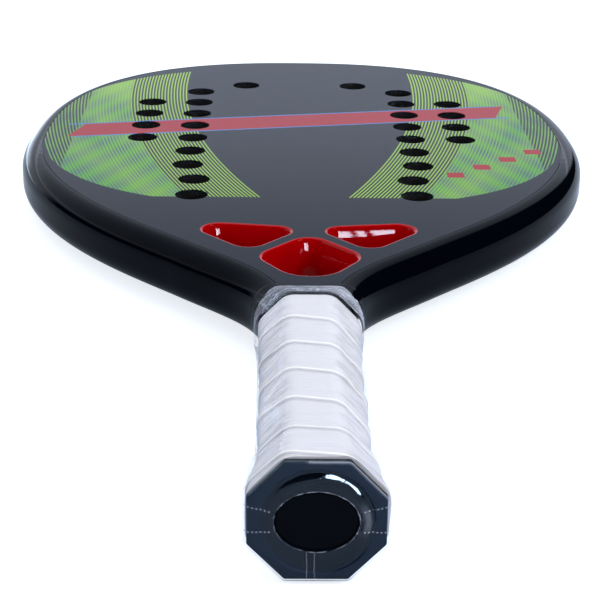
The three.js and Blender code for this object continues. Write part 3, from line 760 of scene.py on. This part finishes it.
def cap_finish(colours):
    """Dark moulding, with painted shadow that makes the side of its flange near black."""
    g = new_finish("cap_plastic")
    cloud = g.noise(120.0, 2.0)
    face = g.blend(cloud, *shades(colours.cap, 0.85, 1.15))
    # Painted shadow darkens the side of the flange.
    painted_side_shadow = g.ramp(g.place()[1], -0.0002, 0.0004)
    g.set(Base_Color=g.blend(painted_side_shadow, face, [c * 0.15 for c in colours.cap]))
    g.set(Roughness=cloud * 0.1 + 0.45, Specular_IOR_Level=0.02)
    return g.material


def dress_node(node, material):
    """Gives a carried-over CAD node its finish."""
    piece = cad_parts[node]
    piece.data.materials.clear()
    piece.data.materials.append(material)


# Edge


def edge_section(width, half, round_, step):
    """Section of the edge tube as depth and height, with a seat for the skins."""
    seat = min(round_ + FIT_GAP, width - SEAT_REST)
    upper = [(0, half - round_)]
    for k in range(1, EDGE_STEPS):
        angle = math.pi / 2 * k / EDGE_STEPS
        upper.append((round_ - round_ * math.cos(angle), half - round_ + round_ * math.sin(angle)))
    upper += [(round_, half), (seat, half), (seat, half - step), (width, half - step)]
    return [(depth, -height) for depth, height in reversed(upper)] + [(0, 0)] + upper


def edge_rings():
    shaft = (SHAFT_WIDTH, SHAFT_HALF, SHAFT_ROUND, 0)
    stations = [(Vector((SHAFT_X, y)), Vector((-1, 0)), shaft) for y in (SHAFT_START_Y, SHAFT_END_Y)]
    for point, inward, width in outline_stations():
        step = SKIN_WALL if point.y > SKIN_END_Y + TOUCH else 0
        stations.append((point, inward, (width, HALF_THICKNESS, EDGE_ROUND, step)))
        if abs(point.y - SKIN_END_Y) < TOUCH:
            seated = (width, HALF_THICKNESS, EDGE_ROUND, SKIN_WALL)
            stations.append((point + Vector((0, TOUCH)), inward, seated))
    mirrored = [(Vector((-p.x, p.y)), Vector((-n.x, n.y)), s) for p, n, s in reversed(stations[:-1])]
    rings = []
    for point, inward, section in stations + mirrored:
        places = [(point + inward * depth, height) for depth, height in edge_section(*section)]
        rings.append([(place.x, place.y, height) for place, height in places])
    return rings


class RACKET_OT_edge(bpy.types.Operator):
    """Builds the glossy lacquered edge that runs round the head, throat and shafts"""

    bl_idname = "racket.edge"
    bl_label = "Lacquered edge"

    def execute(self, context):
        lacquer = lacquer_finish(context.scene.racket_colours)
        edge = new_piece(loft("frame_edge", edge_rings()), lacquer)
        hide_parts("frame_tube")
        dress_node("throat_core", lacquer)
        return {"FINISHED"}


# Faces and core


def hole_wall(centre, radius, lip, high, low):
    """Rings of one hole with a rounded rim at the end away from the middle plane."""
    out = 1 if high > 0 else -1
    face, back = (high, low)[::out]
    rings = []
    for k in range(LIP_STEPS + 1):
        angle = math.pi / 2 * k / LIP_STEPS
        rim = circle(centre, radius + lip * (1 - math.sin(angle)))
        rings.append(raised(rim, face - out * lip * (1 - math.cos(angle))))
    rings.append(raised(circle(centre, radius), back))
    return rings[::out]


def skin_outline():
    """Skin's loop, which follows the inside of the tube down to its straight lower end."""
    stations = outline_stations()
    inside = [p + inward * (width + SKIN_REACH) for p, inward, width in stations if p.y < SKIN_END_Y + TOUCH]
    above = [p for p in inside if p.y > SKIN_END_Y]
    last = inside[len(inside) - len(above) - 1]
    corner = last.lerp(above[0], (SKIN_END_Y - last.y) / (above[0].y - last.y))
    seat = EDGE_ROUND + 2 * FIT_GAP
    right = [p + inward * seat for p, inward, _ in stations if p.y >= SKIN_END_Y - TOUCH]
    return both_sides([corner] + above + right)


def opening_loops(grow):
    """Loops of the three throat openings, grown outward."""
    mirrored = [(-x, y) for x, y in reversed(SIDE_OPENING)]
    loops = {}
    for side, corners, rounds in (
        ("left", mirrored, SIDE_ROUNDS[::-1]),
        ("middle", MIDDLE_OPENING, MIDDLE_ROUNDS),
        ("right", SIDE_OPENING, SIDE_ROUNDS),
    ):
        loops[side] = rounded_loop([(x + OPENING_SHIFT, y) for x, y in corners], rounds, grow)
    return loops


def skin_mesh(name, high, low, radius, lip):
    walls = [straight_wall(skin_outline(), high, low)]
    walls += [straight_wall(loop, high, low) for loop in opening_loops(0.0).values()]
    walls += [hole_wall(place, radius, lip, high, low) for place in hole_places()]
    return plate(name, walls)


def foam_outline():
    """Foam's loop: inside the tube down to the bridge, then along the bridge's arc."""
    right = []
    for point, inward, width in outline_stations():
        p = point + inward * (width + FIT_GAP)
        inside = FOAM_ARC_RADIUS**2 - p.x**2
        arc_y = BRIDGE_CENTRE_Y - math.sqrt(inside) if inside > 0 else 0
        if p.y > max(arc_y, WAIST.y):
            right.append(p)
    reach = math.asin(right[0].x / FOAM_ARC_RADIUS)
    arc = []
    for k in range(1, ARC_STEPS):
        angle = lerp(-reach, reach, k / ARC_STEPS)
        y = BRIDGE_CENTRE_Y - FOAM_ARC_RADIUS * math.cos(angle)
        arc.append(Vector((FOAM_ARC_RADIUS * math.sin(angle), y)))
    return both_sides(right) + arc


class RACKET_OT_faces(bpy.types.Operator):
    """Builds both printed faces and the drilled foam between them"""

    bl_idname = "racket.faces"
    bl_label = "Faces and core"

    def execute(self, context):
        sizes, colours = context.scene.racket_sizes, context.scene.racket_colours
        radius, lip = sizes.hole_diameter / MM / 2, sizes.hole_lip / MM
        core = HALF_THICKNESS - SKIN_WALL
        finish = face_finish(colours)
        top = skin_mesh("face_upper", HALF_THICKNESS, core, radius, lip)
        upper = new_piece(top, finish, level=True)
        under = skin_mesh("face_lower", -core, -HALF_THICKNESS, radius, lip)
        lower = new_piece(under, finish, level=True)
        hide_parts("face_skin_top")
        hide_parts("face_skin_bottom")
        walls = [straight_wall(foam_outline(), core, -core)]
        walls += [straight_wall(circle(place, radius), core, -core) for place in hole_places()]
        foam = new_piece(plate("drilled_foam", walls), foam_finish(colours), level=True)
        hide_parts("foam_core")
        dress_node("bridge_tube", composite_finish("bridge_composite", (0.02, 0.02, 0.022)))
        return {"FINISHED"}


# Throat openings


def liner_profile(wall, belly):
    """Growth and height of each ring: a rolled rim, then a wall that steepens to upright halfway down."""
    roll = wall * LINER_ROLL
    profile = [(0.0, HALF_THICKNESS)]
    for k in range(10):
        angle = LINER_LEAN * k / 9
        profile.append((-LINER_FLAT - roll * math.sin(angle), HALF_THICKNESS - roll * (1 - math.cos(angle))))
    grow, start = profile[-1]
    for k in range(1, 16):
        share = 1 - k / 16
        profile.append((grow - belly * (1 - share**2), start * share))
    half = profile + [(grow - belly, 0.0)]
    return half + [(g, -z) for g, z in reversed(half[:-1])]


class RACKET_OT_liners(bpy.types.Operator):
    """Builds the glossy red walls of the three throat openings"""

    bl_idname = "racket.liners"
    bl_label = "Opening liners"

    def execute(self, context):
        sizes = context.scene.racket_sizes
        finish = liner_finish(context.scene.racket_colours)
        profile = liner_profile(sizes.liner_wall / MM, sizes.liner_belly / MM)
        rings = [(z, opening_loops(grow)) for grow, z in profile]
        for side in ("left", "middle", "right"):
            walls = [raised(loops[side], z) for z, loops in rings]
            liner = new_piece(loft(f"liner_{side}", walls, "joined"), finish, 60)
            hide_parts(f"opening_liner_{side}")
        return {"FINISHED"}


# Handle


def octagon_ring(corners, inset, radius):
    """Rounded octagon as points, each with its direction outward."""
    arcs = corner_arcs(corners, [inset] * 8, [radius] * 8, CORNER_STEPS)
    ring = []
    for arc, following in zip(arcs, arcs[1:] + arcs[:1]):
        (p, n), q = arc[-1], following[0][0]
        ring += arc + [(p.lerp(q, k / SIDE_STEPS), n) for k in range(1, SIDE_STEPS)]
    return ring


def handle_ring(flare, over, soft=0.0):
    """Ring of the handle's octagon. Soft rounds its corners more, up to a share of one."""
    radius = lerp(FACET_ROUND, GRIP_ROUND, soft)
    return octagon_ring(OCTAGON, radius - flare, radius + over)


def flat_ring(ring, y):
    return [(p.x, y, p.y) for p, _ in ring]


def round_ring(ring, across, up, y):
    """Oval with one point for each of the octagon's, at the same bearing."""
    bearings = [math.atan2(p.y, p.x) for p, _ in ring]
    return [(across * math.cos(bearing), y, up * math.sin(bearing)) for bearing in bearings]


def flare_stations(release):
    """How far the octagon spreads at each place along the handle."""
    stations = []
    for k in range(9):
        share = k / 8
        flare = lerp(CAP_FLARE, SKIRT_FLARE, share**FLARE_POWER)
        stations.append((lerp(FLANGE_DEPTH, CAP_LENGTH, share), flare))
    stations += [(CAP_LENGTH + release, 0.0), (COLLAR_START_Y, 0.0), (HANDLE_END_Y, COLLAR_FLARE)]
    return stations


def flare_at(y, stations):
    if y <= stations[0][0]:
        return stations[0][1]
    for (y0, f0), (y1, f1) in zip(stations, stations[1:]):
        if y <= y1:
            return lerp(f0, f1, (y - y0) / (y1 - y0))
    return stations[-1][1]


def crease(y, around, long, short, seed):
    """Soft ridges that run round the handle, a little askew."""
    value = noise.noise(Vector((around / long, (y + around * CREASE_SKEW) / short, seed)))
    return max(value, 0.0) ** 1.5 * CREASE_GAIN


def slant_share(point):
    """One on the slanted and side facets and nought in the middle of the upper and lower ones."""
    return ease((abs(point.x) - 5) / 5)


# Grip layers


def ring_shares(ring):
    """Where the winding starts on a ring, and the share of a turn walked at each point from there."""
    steps = [(ring[k][0] - ring[(k + 1) % len(ring)][0]).length for k in range(len(ring))]
    start = CORNER_STEPS + SIDE_STEPS
    walked, shares = 0.0, []
    for i in range(len(ring)):
        shares.append(walked / sum(steps))
        walked += steps[(start + i) % len(ring)]
    return start, shares


def bell(value, centre, spread):
    return math.exp(-(((value - centre) / spread) ** 2))


def band_section(turns, index, lane, stations, sizes):
    """One section across the band: under side out and upper side back."""
    width, pitch = sizes.band_width / MM, sizes.band_pitch / MM
    thick, creases = sizes.band_thickness / MM, sizes.band_creases / MM
    whole = BAND_PLACES[-1]
    lower = GRIP_START_Y + BAND_TIP - width + turns * pitch
    crest = lower + width - pitch
    lift = (thick + BAND_GAP) * ease((crest - GRIP_START_Y) / 2)
    corner, pull, normal = lane
    under, upper = [], []
    for offset in BAND_PLACES:
        y = max(lower + offset * width / whole, GRIP_START_Y + BAND_SQUEEZE * offset)
        y = min(y, BAND_END_Y - BAND_SQUEEZE * (whole - offset))
        point = corner + pull * flare_at(y, stations)
        base = BAND_FLOOR + lift * (1 - ease((y - crest + CLIMB_START) / CLIMB_LENGTH))
        ridge = crease(y, index * 0.55, 14.0, 2.6, 3.0) * creases * (0.2 + slant_share(point) * 1.8)
        rise = math.sqrt(max(0.0, 1 - (1 - min((y - lower) / HEM_ROUND, 1.0)) ** 2))
        low = point + normal * base
        bead = BEAD_HEIGHT * bell(offset, BEAD_PLACE, 0.5)
        high = point + normal * (base + thick * (0.1 + 0.9 * rise) + ridge * rise + bead)
        under.append((low.x, y, low.y))
        upper.append((high.x, y, high.y))
    return under + upper[::-1]


def band_mesh(sizes):
    """Band wound up the handle, with the places of a painted highlight along its visible edge and of a painted
    shadow under that edge as attributes.
    """
    stations = flare_stations(GRIP_RELEASE)
    ring, spread = handle_ring(0.0, 0.0, 1.0), handle_ring(1.0, 0.0, 1.0)
    lanes = [(corner, far - corner, normal) for (corner, normal), (far, _) in zip(ring, spread)]
    start, shares = ring_shares(handle_ring(0.0, BAND_FLOOR, 1.0))
    count, pitch = len(shares), sizes.band_pitch / MM
    last = (BAND_END_Y - GRIP_START_Y - 2 * BAND_TIP + sizes.band_width / MM) / pitch
    sections, i = [], 0
    while i // count + shares[i % count] <= last:
        turns, index = i // count + shares[i % count], (i + start) % count
        sections.append(band_section(turns, index, lanes[index], stations, sizes))
        i += 1
    mesh = loft("overgrip_band", sections)
    # Painted highlight along each turn's visible edge and painted shadow under it, as shares across the band.
    painted_hem_highlight = [bell(offset, BEAD_PLACE, 0.32) for offset in BAND_PLACES]
    painted_hem_shadow = [bell(offset, pitch - 0.45, 0.55) for offset in BAND_PLACES]
    for name, across in (("painted_hem_highlight", painted_hem_highlight), ("painted_hem_shadow", painted_hem_shadow)):
        values = mesh.attributes.new(name, "FLOAT", "POINT")
        values.data.foreach_set("value", ([0.0] * len(across) + across[::-1]) * len(sections))
    return mesh


def cushion_rings():
    stations = flare_stations(GRIP_RELEASE)
    inner, outer = [], []
    for k in range(CUSHION_STEPS + 1):
        y = lerp(GRIP_START_Y, HANDLE_END_Y, k / CUSHION_STEPS)
        flare = flare_at(y, stations)
        inner.append(flat_ring(handle_ring(flare, FIT_GAP), y))
        outer.append(flat_ring(handle_ring(flare, FIT_GAP + CUSHION_WALL, 1.0), y))
    return inner + outer[::-1]


class RACKET_OT_grip(bpy.types.Operator):
    """Builds the cushion and the band wound over it, and finishes the handle under them"""

    bl_idname = "racket.grip"
    bl_label = "Grip layers"

    def execute(self, context):
        sizes, colours = context.scene.racket_sizes, context.scene.racket_colours
        sleeve = loft("cushion_sleeve", cushion_rings(), "joined")
        cushion = new_piece(sleeve, cushion_finish())
        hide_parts("base_grip")
        band = new_piece(band_mesh(sizes), band_finish(colours), 50)
        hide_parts("overgrip")
        shell = composite_finish("pallet_shell", (0.03, 0.03, 0.032))
        dress_node("handle_pallet_upper", shell)
        dress_node("handle_pallet_lower", shell)
        dress_node("handle_core", foam_finish(colours, "shaft_foam"))
        return {"FINISHED"}


# Butt


def cap_rings():
    """Rings of the cap from its skirt over the flange and down the dish into the badge's seat."""
    stations = flare_stations(GRIP_RELEASE)
    profile = [(flare_at(y, stations), y) for y in (CAP_LENGTH, 20.0, 16.0, 12.0, 8.0, 5.0, FLANGE_DEPTH)]
    profile += [(FLANGE_FLARE, FLANGE_DEPTH - 0.3), (FLANGE_FLARE, FLANGE_BEVEL)]
    profile += [(FLANGE_FLARE - 0.25 * FLANGE_BEVEL, 0.2 * FLANGE_BEVEL), (FLANGE_FLARE - FLANGE_BEVEL, 0.0)]
    rings = [flat_ring(handle_ring(flare, 0.0), y) for flare, y in profile]
    face = handle_ring(FLANGE_FLARE - FLANGE_BEVEL, 0.0)
    for k in range(7):
        radius = DISH_RADIUS + DISH_LIP - DISH_SLOPE * k / 6
        rings.append(round_ring(face, radius, radius, DISH_DEPTH * ease(k / 6)))
    across, up = (half + BADGE_GAP for half in BADGE_HALF)
    return rings + [round_ring(face, across, up, y) for y in (DISH_DEPTH, DISH_DEPTH + BADGE_SEAT)]


def badge_rings():
    """Rings of the badge from its back over its rounded rim to its middle."""
    face = handle_ring(0.0, 0.0)
    across, up = BADGE_HALF
    return [round_ring(face, across + grow, up + grow, y) for grow, y in BADGE_PROFILE]


class RACKET_OT_butt(bpy.types.Operator):
    """Builds the moulded butt cap with its dish, and the bare oval badge in it"""

    bl_idname = "racket.butt"
    bl_label = "Butt cap and badge"

    def execute(self, context):
        colours = context.scene.racket_colours
        cap = new_piece(loft("cap_moulding", cap_rings()), cap_finish(colours), 30)
        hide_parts("butt_cap")
        badge = new_piece(loft("badge_oval", badge_rings()), badge_finish(colours), 40)
        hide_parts("butt_badge")
        return {"FINISHED"}


# Film


def mouth_corners():
    """Corners of the film's octagonal mouth, which fits round the throat."""
    rounding = (EDGE_ROUND + FIT_GAP) * math.sqrt(2)
    slant = (MOUTH_ACROSS - EDGE_ROUND) + (HALF_THICKNESS - EDGE_ROUND) + rounding
    side, top = (MOUTH_ACROSS, slant - MOUTH_ACROSS), (slant - MOUTH_UP, MOUTH_UP)
    right = [(side[0], -side[1]), side, top]
    left = [(-top[0], top[1]), (-side[0], side[1]), (-side[0], -side[1])]
    return right + left + [(-top[0], -top[1]), (top[0], -top[1])]


def film_throat_rings(height):
    """Film from its ragged mouth round the throat down to the handle's octagon."""
    mouth = octagon_ring(mouth_corners(), MOUTH_ROUND, MOUTH_ROUND)
    collar = handle_ring(COLLAR_FLARE, FILM_OVER, 1.0)
    rings = []
    for k in range(13):
        share = k / 12
        ring = []
        for i, ((p, n), (q, _)) in enumerate(zip(mouth, collar)):
            place = p.lerp(q, share**1.3)
            ragged = noise.noise(Vector((i * 0.11, share * 3.5, 7.0)))
            fold = noise.noise(Vector((i * 0.32, share * 1.2 + i * 0.04, 2.0)))
            out = height * (1.1 * ragged + 1.3 * fold) * (0.3 + share * 0.9)
            out = max(out + FILM_LIFT, -FILM_LIFT)
            y = lerp(lerp(FILM_SIDE_Y, FILM_TOP_Y, n.y * n.y), FILM_END_Y, share)
            ring.append((place.x + n.x * out, y + (0.5 * ragged if k == 0 else 0), place.y + n.y * out))
        rings.append(ring)
    return rings


def film_handle_rings(height):
    """Film along the handle, creased over the slanted facets."""
    stations = flare_stations(FILM_RELEASE)
    rings = []
    for k in range(1, FILM_STEPS + 1):
        y = lerp(FILM_END_Y, FLANGE_DEPTH, k / FILM_STEPS)
        base = handle_ring(flare_at(y, stations), FILM_OVER, ease((y - FLANGE_DEPTH) / 20))
        ring = []
        for i, (p, n) in enumerate(base):
            out = crease(y, i * 0.6, 16.0, 3.2, 11.0) * height * (0.3 + 1.2 * slant_share(p))
            ring.append((p.x + n.x * out, y, p.y + n.y * out))
        rings.append(ring)
    return rings


def film_face_rings(face):
    """Rings over the butt: flat to the dish, down into its groove, over a soft swell and in to the badge."""
    rings = []
    across, up = (half + 0.35 for half in BADGE_HALF)
    outer = DISH_RADIUS + 0.6
    bearings = [math.atan2(p.y, p.x) for p, _ in face]
    for share, y in FILM_FACE_PROFILE:
        ring = []
        for bearing in bearings:
            cos, sin = math.cos(bearing), math.sin(bearing)
            ripple = noise.noise(Vector((cos * 1.6 + share * 0.8, sin * 1.6, share * 2.2)))
            ripple = ripple * 0.3 * math.sin(math.pi * share)
            deep = 0.58 + 0.42 * math.cos(bearing - math.radians(60))
            ragged = noise.noise(Vector((cos * 9, sin * 9, 5.0))) * 0.22 * share**4
            x = (lerp(outer, across, share) + ragged) * cos
            z = (lerp(outer, up, share) + ragged) * sin
            ring.append((x, lerp(FILM_FACE_Y, y + ripple, deep), z))
        rings.append(ring)
    return rings


def film_rings(sizes):
    """Rings of the film from its mouth at the throat to its opening round the badge, with creases."""
    height = sizes.film_creases / MM
    rings = film_throat_rings(height) + film_handle_rings(height)
    rings.append(flat_ring(handle_ring(FLANGE_FLARE, 0.45), 0.4))
    rings.append(flat_ring(handle_ring(FLANGE_FLARE - FLANGE_BEVEL, 0.3 + FLANGE_BEVEL), -0.2))
    face = handle_ring(FLANGE_FLARE - 1.6, 0.2)
    rings.append(flat_ring(face, FILM_FACE_Y))
    return rings + film_face_rings(face)


class RACKET_OT_film(bpy.types.Operator):
    """Builds the creased clear film over the grip and the butt"""

    bl_idname = "racket.film"
    bl_label = "Shrink film"

    def execute(self, context):
        sheet = loft("film_wrap", film_rings(context.scene.racket_sizes), "open")
        film = new_piece(sheet, film_finish(), 60)
        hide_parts("clear_film")
        return {"FINISHED"}


# Studio
FLOOR_CONTACTS = (Vector((0.006, -0.0189)), Vector((0.48, -0.0111)))
FLOOR_HALF = 5.0
BACKDROP_WAY = (-0.574, 0.819, 0.52)
WINDOW_LEVEL = 80.0
WINDOW_BARS = ((0.319, 0.3315), (0.3455, 0.357))
DIM_ROOM = 0.01


def floor_finish():
    """White to the camera and through glass. The gloss sees it dimly, with a light pool at the back left."""
    g = new_finish("studio_floor")
    g.set(Base_Color=(0.43, 0.5, 0.62, 1.0), Roughness=0.9, Specular_IOR_Level=0.0)
    x, y, z = g.place()
    pool = g.ramp(x + y, 0.26, 0.36) * g.ramp(x * -1.0, 0.1, 0.14)
    mirror = g.rays(glossy=1.0)
    gleam = mirror * (pool * 4.0 + 0.22)
    tint = g.blend(mirror, (0.95, 0.975, 1.0), (0.66, 0.82, 1.0))
    g.set(Emission_Color=tint, Emission_Strength=gleam + g.rays(camera=0.78, transmission=0.78))
    return g.material


def add_lamp(name, place, target, size, power):
    data = bpy.data.lights.new(name, "AREA")
    data.shape = "RECTANGLE"
    data.size, data.size_y = size
    data.energy = power
    lamp = bpy.data.objects.new(name, data)
    lamp.location = place
    lamp.rotation_euler = (Vector(target) - Vector(place)).to_track_quat("-Z", "Y").to_euler()
    bpy.context.scene.collection.objects.link(lamp)


def add_floor():
    """Plain floor, tilted so that the butt and the head both rest on it."""
    mesh = bpy.data.meshes.new("studio_floor")
    bm = bmesh.new()
    bmesh.ops.create_grid(bm, x_segments=8, y_segments=8, size=FLOOR_HALF)
    bm.to_mesh(mesh)
    bm.free()
    floor = bpy.data.objects.new("studio_floor", mesh)
    mesh.materials.append(floor_finish())
    butt, head = FLOOR_CONTACTS
    floor.rotation_euler = (math.atan2(head.y - butt.y, head.x - butt.x), 0, 0)
    floor.location = (0, butt.x, butt.y)
    bpy.context.scene.collection.objects.link(floor)


def set_world():
    """White all round. The gloss alone sees a backdrop, a dim room and one window of three panes."""
    g = Graph(bpy.data.worlds.new("studio_world"), "Background")
    x, y, z = g.place("Generated")
    facing = x * BACKDROP_WAY[0] + (y * BACKDROP_WAY[1] + z * BACKDROP_WAY[2])
    foot = g.within(z, -0.08, 0.2, 0.03) * g.ramp(x * -1.0, 0.7, 0.85)
    rise = g.ramp(z, 0.238, 0.26) * 1.4 + 1.35
    fall = g.ramp(z, 0.262, 0.284) * 1.2 + g.ramp(z, 0.31, 0.36) * 0.25
    backdrop = g.ramp(facing, 0.52, 0.6) * (1 - foot) * (rise - fall)
    glow = g.within(x, -0.5, -0.22, 0.06) * (1 - g.ramp(z, 0.05, 0.18)) * (y > 0.0)
    window = g.within(x, 0.15, 0.56, 0.02) * g.within(z, 0.0, 0.31, 0.02) * (y < 0.0)
    for low, high in WINDOW_BARS:
        window = window * (1 - g.within(x, low, high, 0.0008))
    level = largest(backdrop + glow * 2.0, window * WINDOW_LEVEL, DIM_ROOM)
    mirror, plain = g.rays(glossy=1.0), g.rays(camera=1.0, transmission=1.0)
    lit = largest(mirror, plain) < 0.5
    g.set(Color=g.blend(mirror, (1.0, 1.0, 1.0), (0.72, 0.8, 0.96)))
    g.set(Strength=mirror * level + plain + lit)
    bpy.context.scene.world = g.material


def add_camera():
    data = bpy.data.cameras.new("photo_camera")
    data.lens = EYE_LENS
    data.sensor_width = EYE_SENSOR
    data.clip_start = 0.01
    camera = bpy.data.objects.new("photo_camera", data)
    reach = math.cos(EYE_PITCH)
    ahead = Vector((math.sin(EYE_YAW) * reach, math.cos(EYE_YAW) * reach, -math.sin(EYE_PITCH)))
    level = Vector((math.cos(EYE_YAW), -math.sin(EYE_YAW), 0))
    up = level.cross(ahead)
    right = level * math.cos(EYE_ROLL) + up * math.sin(EYE_ROLL)
    above = up * math.cos(EYE_ROLL) - level * math.sin(EYE_ROLL)
    camera.matrix_world = Matrix.Translation(EYE) @ Matrix((right, above, -ahead)).transposed().to_4x4()
    bpy.context.scene.collection.objects.link(camera)
    bpy.context.scene.camera = camera


class RACKET_OT_studio(bpy.types.Operator):
    """Sets up the white floor, the soft lamps, the world and the camera of the photograph"""

    bl_idname = "racket.studio"
    bl_label = "Studio"

    def execute(self, context):
        add_floor()
        add_lamp("overhead_softbox", (-0.2, 0.6, 1.5), (0.0, 0.2, 0.0), (1.4, 1.0), 5.0)
        add_lamp("right_softbox", (1.0, -0.3, 0.9), (0.0, 0.1, 0.0), (0.6, 0.6), 7.0)
        set_world()
        add_camera()
        context.scene.view_settings.view_transform = "Standard"
        return {"FINISHED"}


class RACKET_PT_panel(bpy.types.Panel):
    """Lists the racket's pieces, sizes and colours"""

    bl_idname = "RACKET_PT_panel"
    bl_label = "Beach tennis racket"
    bl_space_type = "VIEW_3D"
    bl_region_type = "UI"
    bl_category = "Racket"

    def draw(self, context):
        for operator in OPERATORS:
            self.layout.operator(operator.bl_idname)
        for group in (context.scene.racket_sizes, context.scene.racket_colours):
            for key in group.__annotations__:
                self.layout.prop(group, key)


PIECES = (RACKET_OT_edge, RACKET_OT_faces, RACKET_OT_liners, RACKET_OT_grip, RACKET_OT_butt, RACKET_OT_film)
OPERATORS = (*PIECES, RACKET_OT_studio)
CLASSES = (RacketSizes, RacketColours, *OPERATORS, RACKET_PT_panel)


def register():
    for cls in CLASSES:
        bpy.utils.register_class(cls)
    bpy.types.Scene.racket_sizes = PointerProperty(type=RacketSizes)
    bpy.types.Scene.racket_colours = PointerProperty(type=RacketColours)


def unregister():
    del bpy.types.Scene.racket_colours
    del bpy.types.Scene.racket_sizes
    for cls in reversed(CLASSES):
        bpy.utils.unregister_class(cls)


def main():
    register()
    bpy.ops.racket.edge()
    bpy.ops.racket.faces()
    bpy.ops.racket.liners()
    bpy.ops.racket.grip()
    bpy.ops.racket.butt()
    bpy.ops.racket.film()
    bpy.ops.racket.studio()


if __name__ == "__main__":
    main()
